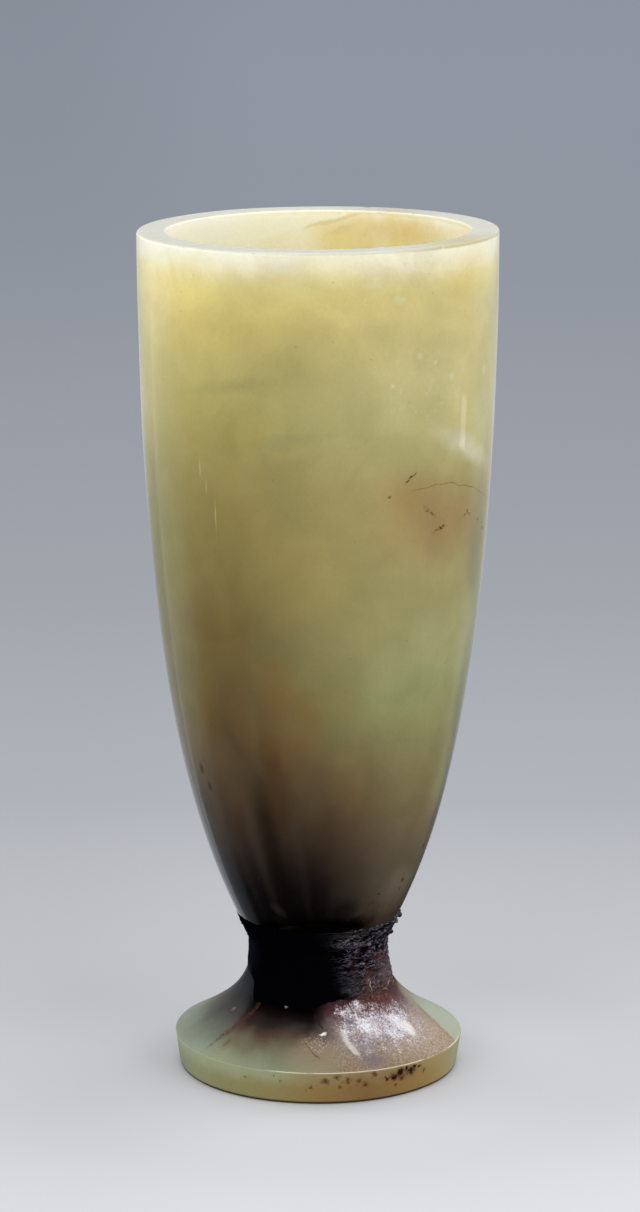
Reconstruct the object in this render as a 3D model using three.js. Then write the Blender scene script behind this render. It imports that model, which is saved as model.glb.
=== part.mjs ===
// A plain footed cup, ground from two pieces of translucent stone: a tall beaker and a waisted foot.
// A hidden bamboo peg lines the two up, a bed of raw lacquer joins them, a bead of lacquer fills the
// seam under the beaker, and a coat of lacquer covers the neck. Nothing on it moves.
// Millimetres, +Z up. The origin is the middle of the face that the foot stands on.
import * as THREE from "three";

// Foot: a disc with a narrower underside, a flare and a straight neck
const footRadius = 20.5;
const footUndercut = 0.7;
const footEdgeHeight = 4.75;
const footHeight = 19.4;
const footCornerRound = 0.4;
const neckRadius = 9.65;
const neckLength = 2.4;
const flareNeckReach = 5.5;
const flareEdgeReach = 8.1;
const flareEdgeAngle = THREE.MathUtils.degToRad(28);

// Beaker: its side falls in from the rim to the seat, slowly at first and quickly near the seat
const beakerHeight = 99.6;
const rimRadius = 25;
const rimRound = 0.45;
const seatOverhang = 0.25;
const seatTurnWidth = 1.2;
const seatTurnRise = 1.1;
const seatTurnReach = 0.6;
const sidePower = 2.25;
const turnPower = 6.75;
const turnShare = 0.29;

// Hollow of the beaker: a wall that thickens downwards, and a round floor
const rimWall = 4;
const bowlWall = 5.2;
const floorThickness = 15.6;
const bowlRise = 15;
const bowlReach = 9;
const floorReach = 7;

// Peg and its sockets
const pegRadius = 3;
const pegDepthInFoot = 7;
const pegDepthInBeaker = 6;
const pegChamfer = 0.5;
const cementLine = 0.15;

// Lacquer: the bed between the stones, the bead round the seam and the coat on the neck
const bedThickness = 1;
const bondGap = 0.05;
const beadRise = 0.9;
const beadLip = 0.45;
const beadFoot = 0.25;
const beadHollow = 0.35;
const coatDrop = 7.4;
const coatThickness = 0.45;
const coatEdge = 0.15;
const coatTaper = 2.5;

// Fineness of the turned surfaces
const facets = 56;
const sideSteps = 19;
const wallSteps = 11;
const bowlSteps = 7;
const flareSteps = 12;
const roundSteps = 3;
const coatSteps = 6;
const samePoint = 1e-6;
const halvings = 30;

// Heights that follow from the sizes above
const seatHeight = footHeight + bedThickness;
const seatTurnHeight = seatHeight + seatTurnRise;
const rimHeight = seatHeight + beakerHeight;
const floorHeight = seatHeight + floorThickness;
const bowlHeight = floorHeight + bowlRise;

// Radii that follow from the sizes above
const seatRadius = neckRadius + seatOverhang;
const sideRadius = seatRadius + seatTurnWidth;
const socketRadius = pegRadius + cementLine;

const stone = { color: 0xb9ad78, roughness: 0.25, metalness: 0 };
const darkStone = { color: 0x8f8f6a, roughness: 0.3, metalness: 0 };
const lacquer = { color: 0x1a1214, roughness: 0.4, metalness: 0 };
const bamboo = { color: 0x9c7a48, roughness: 0.7, metalness: 0 };

const at = (radius, height) => new THREE.Vector2(radius, height);
const shifted = (points, radius, height) => points.map((p) => at(p.x + radius, p.y + height));

// A quarter round from one angle to another, in quarter turns, anticlockwise from straight out.
function quarterRound(radius, height, round, fromQuarter, toQuarter) {
  const quarter = Math.PI / 2;
  const curve = new THREE.EllipseCurve(radius, height, round, round, fromQuarter * quarter, toQuarter * quarter);
  return curve.getPoints(roundSteps);
}

// Points spaced evenly in height, with their radius from a function of height.
function heightsOf(radiusAt, from, to, steps) {
  const points = [];
  for (let i = 0; i <= steps; i++) {
    const height = THREE.MathUtils.lerp(from, to, i / steps);
    points.push(at(radiusAt(height), height));
  }
  return points;
}

// Turns an outline about the upright axis. It runs up the outside and down the inside.
function turned(name, outline, finish) {
  const apart = (p, i) => i === 0 || p.distanceTo(outline[i - 1]) > samePoint;
  const geometry = new THREE.LatheGeometry(outline.filter(apart), facets);
  geometry.rotateX(Math.PI / 2);
  const mesh = new THREE.Mesh(geometry, new THREE.MeshStandardMaterial(finish));
  mesh.name = name;
  return mesh;
}

// Outer radius of the beaker's side at a height.
function sideRadiusAt(height) {
  const fallen = (rimHeight - height) / (rimHeight - seatTurnHeight);
  const drawnIn = (1 - turnShare) * fallen ** sidePower + turnShare * fallen ** turnPower;
  return rimRadius - (rimRadius - sideRadius) * drawnIn;
}

// Inner radius of the beaker's wall at a height above its round floor.
function wallRadiusAt(height) {
  const wall = THREE.MathUtils.mapLinear(height, bowlHeight, rimHeight, bowlWall, rimWall);
  return sideRadiusAt(height) - wall;
}

// The rounded edge between the beaker's flat seat and its side.
const seatTurn = new THREE.QuadraticBezierCurve(
  at(seatRadius, seatHeight),
  at(seatRadius + seatTurnReach, seatHeight),
  at(sideRadius, seatTurnHeight),
).getPoints(roundSteps);

// The flare of the foot, from the edge of its disc up to its neck.
const flareTop = footHeight - neckLength;
const flareEdge = at(footRadius, footEdgeHeight);
const flareLead = at(-Math.cos(flareEdgeAngle), Math.sin(flareEdgeAngle)).multiplyScalar(flareEdgeReach);
const flare = new THREE.CubicBezierCurve(
  flareEdge,
  flareEdge.clone().add(flareLead),
  at(neckRadius, flareTop - flareNeckReach),
  at(neckRadius, flareTop),
);

// Radius of the foot's stone at a height between the edge of its disc and its top.
function footRadiusAt(height) {
  if (height >= flareTop) return neckRadius;
  let low = 0;
  let high = 1;
  for (let i = 0; i < halvings; i++) {
    const middle = (low + high) / 2;
    if (flare.getPoint(middle).y < height) low = middle;
    else high = middle;
  }
  return flare.getPoint(low).x;
}

// Foot, with a blind socket for the peg in the top of its neck.
function makeFoot() {
  const underside = footRadius - footUndercut;
  const outline = [
    at(0, 0),
    at(underside - footCornerRound, 0),
    at(underside, footCornerRound),
    ...flare.getPoints(flareSteps),
    at(neckRadius, footHeight),
    at(socketRadius, footHeight),
    at(socketRadius, footHeight - pegDepthInFoot - cementLine),
    at(0, footHeight - pegDepthInFoot - cementLine),
  ];
  return turned("foot", outline, darkStone);
}

// Beaker, with a blind socket for the peg in its thick base.
function makeBeaker() {
  const mouthRadius = rimRadius - rimWall;
  const shoulder = rimHeight - rimRound;
  const bowlTop = at(wallRadiusAt(bowlHeight), bowlHeight);
  const lean = (wallRadiusAt(bowlHeight + bowlReach) - bowlTop.x) / bowlReach;
  const bowl = new THREE.CubicBezierCurve(
    bowlTop,
    at(bowlTop.x - lean * bowlReach, bowlHeight - bowlReach),
    at(floorReach, floorHeight),
    at(0, floorHeight),
  );
  const outline = [
    at(0, seatHeight + pegDepthInBeaker + cementLine),
    at(socketRadius, seatHeight + pegDepthInBeaker + cementLine),
    at(socketRadius, seatHeight),
    ...seatTurn,
    ...heightsOf(sideRadiusAt, seatTurnHeight, shoulder, sideSteps),
    ...quarterRound(rimRadius - rimRound, shoulder, rimRound, 0, 1),
    ...quarterRound(mouthRadius + rimRound, shoulder, rimRound, 1, 2),
    ...heightsOf(wallRadiusAt, shoulder, bowlHeight, wallSteps),
    ...bowl.getPoints(bowlSteps),
  ];
  return turned("beaker", outline, stone);
}

// Peg that lines up the two stones, with its ends chamfered to find the sockets.
function makePeg() {
  const bottom = footHeight - pegDepthInFoot;
  const top = seatHeight + pegDepthInBeaker;
  const outline = [
    at(0, bottom),
    at(pegRadius - pegChamfer, bottom),
    at(pegRadius, bottom + pegChamfer),
    at(pegRadius, top - pegChamfer),
    at(pegRadius - pegChamfer, top),
    at(0, top),
  ];
  return turned("joint_peg", outline, bamboo);
}

// Bed of lacquer between the top of the neck and the beaker's seat, round the peg.
function makeBed() {
  const outline = [
    at(socketRadius, footHeight),
    at(neckRadius, footHeight),
    at(neckRadius, seatHeight),
    at(socketRadius, seatHeight),
    at(socketRadius, footHeight),
  ];
  return turned("lacquer_bed", outline, lacquer);
}

// Outer radius of the lacquer coat at a height. The coat thins out towards its lower edge.
function coatRadiusAt(height) {
  const taper = THREE.MathUtils.smoothstep(height, footHeight - coatDrop, footHeight - coatDrop + coatTaper);
  return footRadiusAt(height) + bondGap + THREE.MathUtils.lerp(coatEdge, coatThickness, taper);
}

// Coat of lacquer on the neck, from the seam down to the start of the flare.
function makeCoat() {
  const bottom = footHeight - coatDrop;
  const inside = heightsOf((height) => footRadiusAt(height) + bondGap, footHeight, bottom, coatSteps);
  const outside = heightsOf(coatRadiusAt, bottom, footHeight, coatSteps);
  return turned("neck_lacquer", [...outside, ...inside, outside[0]], lacquer);
}

// Bead of lacquer that fills the corner between the coat and the beaker, with a lip proud of the side.
function makeBead() {
  const bottom = footHeight + bondGap;
  const top = seatTurnHeight + beadRise;
  const seam = neckRadius + bondGap;
  const lip = at(sideRadiusAt(top) + bondGap + beadLip, top);
  const foot = at(coatRadiusAt(footHeight) + beadFoot, bottom);
  const hollow = at((lip.x + foot.x) / 2 - beadHollow, (lip.y + foot.y) / 2);
  const beaker = [...seatTurn, ...heightsOf(sideRadiusAt, seatTurnHeight, top, roundSteps)];
  const outline = [
    at(seam, bottom),
    ...new THREE.QuadraticBezierCurve(foot, hollow, lip).getPoints(roundSteps + 1),
    ...shifted(beaker, bondGap, -bondGap).reverse(),
    at(seam, seatHeight - bondGap),
    at(seam, bottom),
  ];
  return turned("lacquer_bead", outline, lacquer);
}

const chalice = new THREE.Group();
chalice.name = "chalice";
chalice.add(makeFoot(), makePeg(), makeBed(), makeBeaker(), makeCoat(), makeBead());

export default chalice;
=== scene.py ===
# %% [markdown]
# # A stone cup on a foot
# This lesson dresses a footed cup that was ground from two pieces of translucent stone. A tall beaker
# stands on a waisted foot, and dark lacquer holds the two together. The packed model gives the sizes,
# and each cell below makes one piece, one finish or one part of the studio round it.

# %% Load the frame
import math

import bpy
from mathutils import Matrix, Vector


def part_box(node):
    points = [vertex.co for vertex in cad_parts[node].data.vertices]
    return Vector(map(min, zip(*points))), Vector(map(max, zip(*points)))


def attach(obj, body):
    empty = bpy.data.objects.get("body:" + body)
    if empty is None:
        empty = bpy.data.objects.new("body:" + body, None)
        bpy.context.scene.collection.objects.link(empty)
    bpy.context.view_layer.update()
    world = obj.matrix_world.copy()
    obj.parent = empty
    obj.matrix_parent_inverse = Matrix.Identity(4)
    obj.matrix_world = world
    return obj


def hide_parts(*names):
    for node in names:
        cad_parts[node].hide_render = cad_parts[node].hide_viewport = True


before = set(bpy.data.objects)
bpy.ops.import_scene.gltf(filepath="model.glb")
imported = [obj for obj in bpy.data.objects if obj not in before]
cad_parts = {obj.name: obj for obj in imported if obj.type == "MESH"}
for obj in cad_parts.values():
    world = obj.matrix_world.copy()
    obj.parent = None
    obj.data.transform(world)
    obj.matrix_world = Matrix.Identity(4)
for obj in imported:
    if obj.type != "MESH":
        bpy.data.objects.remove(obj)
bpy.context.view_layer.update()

MM = 0.001
print("CAD nodes:", sorted(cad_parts))

# %% [markdown]
# ## Sizes
# Every overall size is read from the packed model, so the fine surfaces land where the plain solids
# are. The few numbers that a box can't tell, such as how the side draws in, are written once here, in
# millimetres.

# %% Sizes from the frame
beaker_low, beaker_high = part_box("beaker")
_, foot_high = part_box("foot")
_, bead_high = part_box("lacquer_bead")
peg_low, peg_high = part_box("joint_peg")
_, bed_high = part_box("lacquer_bed")

rim_radius = beaker_high.x / MM
rim_height = beaker_high.z / MM
seat_height = beaker_low.z / MM
foot_radius = foot_high.x / MM
foot_height = foot_high.z / MM
neck_radius = bed_high.x / MM
peg_radius = peg_high.x / MM
bead_top = bead_high.z / MM
print(f"cup {2 * rim_radius:.1f} mm wide and {rim_height:.1f} mm high, foot {2 * foot_radius:.1f} mm wide")

# %% Sizes that a box can't tell
cement_line = 0.15
seat_overhang = 0.25
seat_turn_width = 1.2
seat_turn_rise = 1.1
seat_turn_reach = 0.6
side_power = 2.25
turn_power = 6.75
turn_share = 0.29
rim_wall = 4.0
rim_round = 0.4
bowl_wall = 5.2
floor_thickness = 15.6
bowl_rise = 15.0
bowl_reach = 9.0
floor_reach = 7.0
foot_undercut = 0.7
foot_corner_round = 0.4
foot_edge_height = 4.75
foot_edge_round = 0.22
neck_length = 2.4
flare_neck_reach = 5.5
flare_edge_reach = 8.1
flare_edge_angle = math.radians(28)

seat_radius = neck_radius + seat_overhang
side_radius = seat_radius + seat_turn_width
seat_turn_height = seat_height + seat_turn_rise
floor_height = seat_height + floor_thickness
bowl_height = floor_height + bowl_rise
socket_radius = peg_radius + cement_line
socket_top = peg_high.z / MM + cement_line
socket_bottom = peg_low.z / MM - cement_line
print(f"the bowl is {rim_height - floor_height:.1f} mm deep")

# %% [markdown]
# ## Camera
# The camera was fitted to the ellipses of the rim and the foot. It stands a little above the rim, looks
# down by about a seventh of a right angle, and has a long lens, so the cup's sides stay nearly upright.

# %% Camera
camera_place = (0.00028, -0.56355, 0.1931)
camera_pitch = math.radians(12.636)
sensor_side = 36.0
focal_pixels = 4110.7
frame_height_pixels = 1212
collection = bpy.context.scene.collection

camera_data = bpy.data.cameras.new("camera")
camera_data.sensor_fit = "VERTICAL"
camera_data.sensor_height = sensor_side
camera_data.sensor_width = sensor_side
camera_data.lens = focal_pixels / frame_height_pixels * sensor_side
camera = bpy.data.objects.new("camera", camera_data)
camera.location = camera_place
camera.rotation_euler = (math.pi / 2 - camera_pitch, 0, 0)
collection.objects.link(camera)
bpy.context.scene.camera = camera
print(f"lens {camera_data.lens:.1f} mm")

# %% [markdown]
# ## Colours
# Colours are written as a screen shows them, and turned into the linear values that a shader needs.


# %% Colour helper
def seen(text):
    """A linear colour from six hex digits."""
    shares = [int(text[i : i + 2], 16) / 255 for i in (0, 2, 4)]
    linear = [s / 12.92 if s <= 0.04045 else ((s + 0.055) / 1.055) ** 2.4 for s in shares]
    return (*linear, 1.0)


print("mid grey as linear:", round(seen("808080")[0], 3))

# %% [markdown]
# ## Short ways to build node trees
# Geometry Nodes and shader nodes are both trees of nodes, so one small helper serves both. It adds a
# node, and for each input it either links a socket or sets a plain value. What comes back is a socket,
# so a formula can be written from the inside out.


# %% Node helper
class Nodes:
    """Adds nodes to one tree and links them."""

    def __init__(self, tree):
        self.tree = tree

    def feed(self, socket, value):
        """Links a socket or sets a plain value. A colour may be text, as a screen shows it."""
        if isinstance(value, bpy.types.NodeSocket):
            self.tree.links.new(value, socket)
        elif socket.type == "RGBA" and isinstance(value, str):
            socket.default_value = seen(value)
        else:
            socket.default_value = value

    def add(self, kind, inputs=(), **settings):
        """Adds a node, feeds its inputs by order or by name, and gives its outputs."""
        node = self.tree.nodes.new(kind)
        for name, value in settings.items():
            setattr(node, name, value)
        for key, value in inputs.items() if isinstance(inputs, dict) else enumerate(inputs):
            self.feed(node.inputs[key], value)
        return node.outputs

    def math(self, operation, *values, clamp=False):
        return self.add("ShaderNodeMath", values, operation=operation, use_clamp=clamp)[0]

    def times(self, first, *others):
        for other in others:
            first = self.math("MULTIPLY", first, other)
        return first

    def plus(self, first, second):
        return self.math("ADD", first, second)

    def minus(self, first, second):
        return self.math("SUBTRACT", first, second)

    def over(self, first, second):
        return self.math("DIVIDE", first, second)

    def sloped(self, value, slope, start):
        return self.math("MULTIPLY_ADD", value, slope, start)

    def apart(self, first, second):
        return self.math("ABSOLUTE", self.minus(first, second))

    def length(self, first, second):
        return self.math("SQRT", self.plus(self.times(first, first), self.times(second, second)))

    def turn_of(self, x, y):
        """Degrees round the axis, from the front to the right."""
        return self.math("DEGREES", self.math("ARCTAN2", x, self.times(y, -1.0)))

    def vector(self, operation, *values):
        return self.add("ShaderNodeVectorMath", values, operation=operation)[0]

    def scaled(self, vector, scale):
        return self.add("ShaderNodeVectorMath", {0: vector, "Scale": scale}, operation="SCALE")[0]

    def parts(self, vector):
        return self.add("ShaderNodeSeparateXYZ", [vector])

    def joined(self, *xyz):
        return self.add("ShaderNodeCombineXYZ", xyz)[0]

    def remap(self, value, low, high, to_low=0.0, to_high=1.0, smooth=True):
        kind = "SMOOTHSTEP" if smooth else "LINEAR"
        inputs = (value, low, high, to_low, to_high)
        return self.add("ShaderNodeMapRange", inputs, interpolation_type=kind)[0]

    def between(self, value, low, low_full, high_full, high):
        """1 from low_full to high_full, falling to 0 at low and high."""
        return self.times(self.remap(value, low, low_full), self.remap(value, high, high_full))


print("ways to add nodes:", [name for name in vars(Nodes) if name[0] != "_"])

# %% [markdown]
# ## Noise, ramps and curves
# Most shapes and colours below come from three patterns. Noise gives soft lumps of a chosen size, a ramp
# gives a colour for each height or angle, and a curve gives a number. They are written with plain values,
# such as millimetres or degrees, and the helper brings those to the 0 to 1 that the nodes want.


# %% Pattern helper
class Patterns(Nodes):
    """Nodes, with noise, ramps, curves and groups."""

    def lumps(self, vector, scale, detail=2.0, roughness=0.5, distortion=0.0, seed=None):
        """Soft noise: a value from 0 to 1, and a colour."""
        inputs = {"Vector": vector, "Scale": scale, "Detail": detail}
        inputs.update({"Roughness": roughness, "Distortion": distortion})
        if seed is None:
            return self.add("ShaderNodeTexNoise", inputs)
        return self.add("ShaderNodeTexNoise", {**inputs, "W": seed}, noise_dimensions="4D")

    def noise(self, vector, size, *shape):
        """Noise with lumps of about size millimetres. Shape is detail, roughness and distortion."""
        return self.lumps(vector, 1 / (size * MM), *shape)[0]

    def mix(self, factor, first, second, blend="MIX"):
        inputs = {0: factor, 6: first, 7: second}
        return self.add("ShaderNodeMix", inputs, data_type="RGBA", blend_type=blend)[2]

    def ramp(self, value, low, high, stops):
        """A colour for each value from low to high. Stops are pairs of value and colour."""
        result = self.add("ShaderNodeValToRGB", [self.remap(value, low, high, smooth=False)])[0]
        elements = result.node.color_ramp.elements
        while len(elements) < len(stops):
            elements.new(0.5)
        for element, (place, colour) in zip(elements, stops):
            element.position = (place - low) / (high - low)
            element.color = seen(colour)
        return result

    def curve(self, value, low, high, to_low, to_high, points):
        """A smooth curve through points, pairs of value and result."""
        inputs = {"Value": self.remap(value, low, high, smooth=False)}
        result = self.add("ShaderNodeFloatCurve", inputs)[0]
        mapping = result.node.mapping
        line = mapping.curves[0]
        while len(line.points) < len(points):
            line.points.new(0.5, 0.5)
        for point, (place, height) in zip(line.points, points):
            point.location = ((place - low) / (high - low), (height - to_low) / (to_high - to_low))
        mapping.update()
        return self.remap(result, 0.0, 1.0, to_low, to_high, smooth=False)

    def round_curve(self, turn, points, to_low=0, to_high=1):
        """A curve over the whole turn round the axis."""
        return self.curve(turn, -180, 180, to_low, to_high, points)

    def group(self, tree, **values):
        inputs = {name.replace("_", " ").capitalize(): value for name, value in values.items()}
        return self.add("ShaderNodeGroup", inputs, node_tree=tree)


print("patterns:", [name for name in vars(Patterns) if name[0] != "_"])


# %% Shape helper
class ShapeNodes(Patterns):
    """The same for Geometry Nodes, with short ways for the nodes that every tree here uses."""

    def position(self):
        return self.add("GeometryNodeInputPosition")[0]

    def normal(self):
        return self.add("GeometryNodeInputNormal")[0]

    def mark(self, name):
        """A number that the mesh carries."""
        return self.add("GeometryNodeInputNamedAttribute", {"Name": name}, data_type="FLOAT")[0]

    def marked(self, shape, name, value):
        inputs = {"Geometry": shape, "Name": name, "Value": value}
        return self.add("GeometryNodeStoreNamedAttribute", inputs, data_type="FLOAT", domain="POINT")[0]

    def moved(self, shape, how, value):
        """Moves the points: how is Offset or Position."""
        return self.add("GeometryNodeSetPosition", {"Geometry": shape, how: value})[0]

    def scattered(self, shape, density, seed):
        inputs = {"Mesh": shape, "Density": density, "Seed": seed}
        return self.add("GeometryNodeDistributePointsOnFaces", inputs, distribute_method="RANDOM")

    def copies(self, points, shape, rotation, scale):
        """One copy of a shape at each point, made real, because the export drops instances."""
        inputs = {"Points": points, "Instance": shape, "Rotation": rotation, "Scale": scale}
        return self.real(self.add("GeometryNodeInstanceOnPoints", inputs)[0])

    def real(self, shape):
        return self.add("GeometryNodeRealizeInstances", [shape])[0]

    def smooth(self, shape):
        return self.add("GeometryNodeSetShadeSmooth", {"Geometry": shape})[0]

    def painted(self, shape, material):
        return self.add("GeometryNodeSetMaterial", {"Geometry": shape, "Material": material})[0]


PIECE = ("Piece", "NodeSocketGeometry")
SEED = ("Seed", "NodeSocketInt")
MATERIAL = ("Material", "NodeSocketMaterial")


def new_tree(name, helper, kind, inputs, outputs):
    """A tree, its helper, its inputs and its outputs. A socket is a number unless it names its type."""
    tree = bpy.data.node_groups.new(name, kind)
    for direction, sockets in (("INPUT", inputs), ("OUTPUT", outputs)):
        for socket in sockets:
            title, socket_type = (socket, "NodeSocketFloat") if isinstance(socket, str) else socket
            tree.interface.new_socket(title, in_out=direction, socket_type=socket_type)
    n = helper(tree)
    return tree, n, n.add("NodeGroupInput"), tree.nodes.new("NodeGroupOutput").inputs


def shape_tree(name, *inputs):
    """A Geometry Nodes tree that takes a piece and gives a piece."""
    return new_tree(name, ShapeNodes, "GeometryNodeTree", [PIECE, *inputs], [PIECE])


def effect_group(name, inputs, outputs):
    """A shader group with its own sockets."""
    return new_tree(name, Patterns, "ShaderNodeTree", inputs, outputs)


print("ways to shape:", [name for name in vars(ShapeNodes) if name[0] != "_"])

# %% [markdown]
# ## Turning an outline
# The stones were ground on a wheel, so each is an outline turned about the upright axis. A Screw
# modifier could do that, but a Geometry Nodes tree can also carry a mark from the outline to the
# surface: here `zone`, which is 0 inside the joint, 1 on the side, 2 on the edge and 3 beyond it, on a
# bowl's inside or a foot's top. The tree makes a grid, looks up each row's radius and height on the
# outline, and bends the columns round the axis.

# %% Tree that turns an outline
weld_distance = 0.0005


def make_turning_tree():
    segments = ("Segments", "NodeSocketInt")
    tree, n, given, result = shape_tree("turned_outline", segments, MATERIAL)
    rows = n.add("GeometryNodeAttributeDomainSize", [given["Piece"]], component="MESH")["Point Count"]
    columns = n.plus(given["Segments"], 1.0)
    sizes = {"Size X": 1.0, "Size Y": 1.0, "Vertices X": columns, "Vertices Y": rows}
    grid = n.add("GeometryNodeMeshGrid", sizes)["Mesh"]
    across, along, _ = n.parts(n.position())
    row = n.math("ROUND", n.times(n.plus(along, 0.5), n.minus(rows, 1.0)))
    turn = n.times(n.plus(across, 0.5), 2 * math.pi)

    def from_outline(data_type, value):
        inputs = {"Geometry": given["Piece"], "Value": value, "Index": row}
        return n.add("GeometryNodeSampleIndex", inputs, data_type=data_type, domain="POINT")[0]

    radius, _, height = n.parts(from_outline("FLOAT_VECTOR", n.position()))
    grid = n.marked(grid, "zone", from_outline("FLOAT", n.mark("zone")))
    east = n.times(radius, n.math("COSINE", turn))
    north = n.times(radius, n.math("SINE", turn))
    turned = n.moved(grid, "Position", n.joined(east, north, height))
    weld = {"Geometry": turned, "Distance": weld_distance * MM}
    welded = n.add("GeometryNodeMergeByDistance", weld)[0]
    n.feed(result["Piece"], n.painted(n.real(n.smooth(welded)), given["Material"]))
    return tree


turning_tree = make_turning_tree()
print("nodes in the turning tree:", len(turning_tree.nodes))

# %% [markdown]
# ## Running a tree on an object
# A modifier's input is set by the socket's identifier. After the last tree has run, the evaluated result
# is taken as a plain mesh, because the piece has to leave this file as one.


# %% Modifier helper
def add_tree(piece, tree, **values):
    modifier = piece.modifiers.new(tree.name, "NODES")
    modifier.node_group = tree
    sockets = [item for item in tree.interface.items_tree if item.in_out == "INPUT"]
    identifiers = {socket.name: socket.identifier for socket in sockets}
    for name, value in values.items():
        modifier[identifiers[name.replace("_", " ").capitalize()]] = value


def volume_of(mesh):
    """Signed volume in cubic centimetres: positive where the faces point out."""
    mesh.calc_loop_triangles()
    total = 0.0
    for triangle in mesh.loop_triangles:
        a, b, c = (mesh.vertices[i].co for i in triangle.vertices)
        total += a.dot(b.cross(c)) / 6
    return total * 1e6


def settle(piece):
    """Turns an object with modifiers into a plain mesh, and prints what it has become."""
    graph = bpy.context.evaluated_depsgraph_get()
    mesh = bpy.data.meshes.new_from_object(piece.evaluated_get(graph), depsgraph=graph)
    piece.modifiers.clear()
    old = piece.data
    piece.data = mesh
    bpy.data.meshes.remove(old)
    mesh.name = piece.name
    print(f"{piece.name}: {len(mesh.polygons)} faces, {volume_of(mesh):.4f} cm3")


def placed(name, mesh):
    """A new object at the origin."""
    piece = bpy.data.objects.new(name, mesh)
    collection.objects.link(piece)
    return piece


def turned_piece(name, points, segments, material):
    """An outline with its turning tree. Points are (radius, height, zone), in millimetres."""
    mesh = bpy.data.meshes.new(name)
    mesh.from_pydata([(r * MM, 0, z * MM) for r, z, _ in points], [], [])
    zone = mesh.attributes.new("zone", "FLOAT", "POINT")
    zone.data.foreach_set("value", [mark for _, _, mark in points])
    piece = placed(name, mesh)
    add_tree(piece, turning_tree, segments=segments, material=material)
    return piece


print("sockets of the turning tree:", [item.name for item in turning_tree.interface.items_tree])

# %% [markdown]
# ## Outlines
# The outlines repeat the rules of the solids, with many more points. Close to a sharp corner a short
# step is added on both sides, so that the smooth shading of a broad face doesn't bend at its edge.


# %% Curves for the outlines
def mixed(a, b, share):
    return a + (b - a) * share


def mixed_point(first, second, share):
    return tuple(mixed(a, b, share) for a, b in zip(first, second))


def bezier(points, steps):
    """Points along a Bezier curve of any order, by repeated mixing."""
    result = []
    for i in range(steps + 1):
        level = list(points)
        while len(level) > 1:
            level = [mixed_point(a, b, i / steps) for a, b in zip(level, level[1:])]
        result.append(level[0])
    return result


def arc(radius, height, rounding, from_angle, to_angle, steps=6):
    turns = [math.radians(mixed(from_angle, to_angle, i / steps)) for i in range(steps + 1)]
    return [(radius + rounding * math.cos(t), height + rounding * math.sin(t)) for t in turns]


def rise(radius_at, from_height, to_height, steps):
    heights = [mixed(from_height, to_height, i / steps) for i in range(steps + 1)]
    return [(radius_at(h), h) for h in heights]


def side_radius_at(height):
    fallen = (rim_height - height) / (rim_height - seat_turn_height)
    drawn_in = (1 - turn_share) * fallen**side_power + turn_share * fallen**turn_power
    return rim_radius - (rim_radius - side_radius) * drawn_in


def wall_radius_at(height):
    wall = mixed(bowl_wall, rim_wall, (height - bowl_height) / (rim_height - bowl_height))
    return side_radius_at(height) - wall


flare_top = foot_height - neck_length
flare_start = (
    foot_radius - flare_edge_reach * math.cos(flare_edge_angle),
    foot_edge_height + flare_edge_reach * math.sin(flare_edge_angle),
)
flare_end = (neck_radius, flare_top - flare_neck_reach)
flare = bezier([(foot_radius, foot_edge_height), flare_start, flare_end, (neck_radius, flare_top)], steps=60)


def foot_radius_at(height):
    """Radius of the flare or the neck at a height, between the points of the flare."""
    for (r0, z0), (r1, z1) in zip(flare, flare[1:]):
        if z0 <= height <= z1:
            return mixed(r0, r1, (height - z0) / (z1 - z0))
    return neck_radius


print(f"beaker wall at half height: {side_radius_at(70) - wall_radius_at(70):.2f} mm")

# %% Outlines of the two stones
JOINT, SIDE, EDGE, BEYOND = range(4)
smallest_step = 0.001
near_corner = 0.25
edge_inset = 0.01
near_seam = 0.1


def zoned(points, zone):
    return [(r, z, zone) for r, z in points]


def without_doubles(points):
    kept = [points[0]]
    for point in points[1:]:
        if math.dist(point[:2], kept[-1][:2]) > smallest_step:
            kept.append(point)
    return kept


def beaker_outline():
    shoulder = rim_height - rim_round
    mouth_radius = rim_radius - rim_wall
    flat_from = (rim_radius - rim_round, rim_height)
    flat_to = (mouth_radius + rim_round, rim_height)
    bowl_radius = wall_radius_at(bowl_height)
    lean = (wall_radius_at(bowl_height + bowl_reach) - bowl_radius) / bowl_reach
    bowl_turn = (bowl_radius - lean * bowl_reach, bowl_height - bowl_reach)
    bowl = [(bowl_radius, bowl_height), bowl_turn, (floor_reach, floor_height), (0, floor_height)]
    seat = (seat_radius, seat_height)
    seat_turn = [seat, (seat_radius + seat_turn_reach, seat_height), (side_radius, seat_turn_height)]
    joint = [(0, socket_top), (socket_radius, socket_top), (socket_radius, seat_height)]
    rim_flat = [mixed_point(flat_from, flat_to, s) for s in (0.08, 0.5, 0.92)]
    side = rise(side_radius_at, seat_turn_height, shoulder - near_corner, steps=96)
    outer_round = arc(flat_from[0], shoulder, rim_round, 0, 90)
    inner_round = arc(flat_to[0], shoulder, rim_round, 90, 180)
    inside = rise(wall_radius_at, shoulder - near_corner, bowl_height, steps=46) + bezier(bowl, steps=22)
    return without_doubles(
        zoned(joint, JOINT)
        + zoned(bezier(seat_turn, steps=6) + side + outer_round[:4], SIDE)
        + zoned(outer_round[4:] + rim_flat + inner_round[:3], EDGE)
        + zoned(inner_round[3:] + inside, BEYOND)
    )


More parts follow.
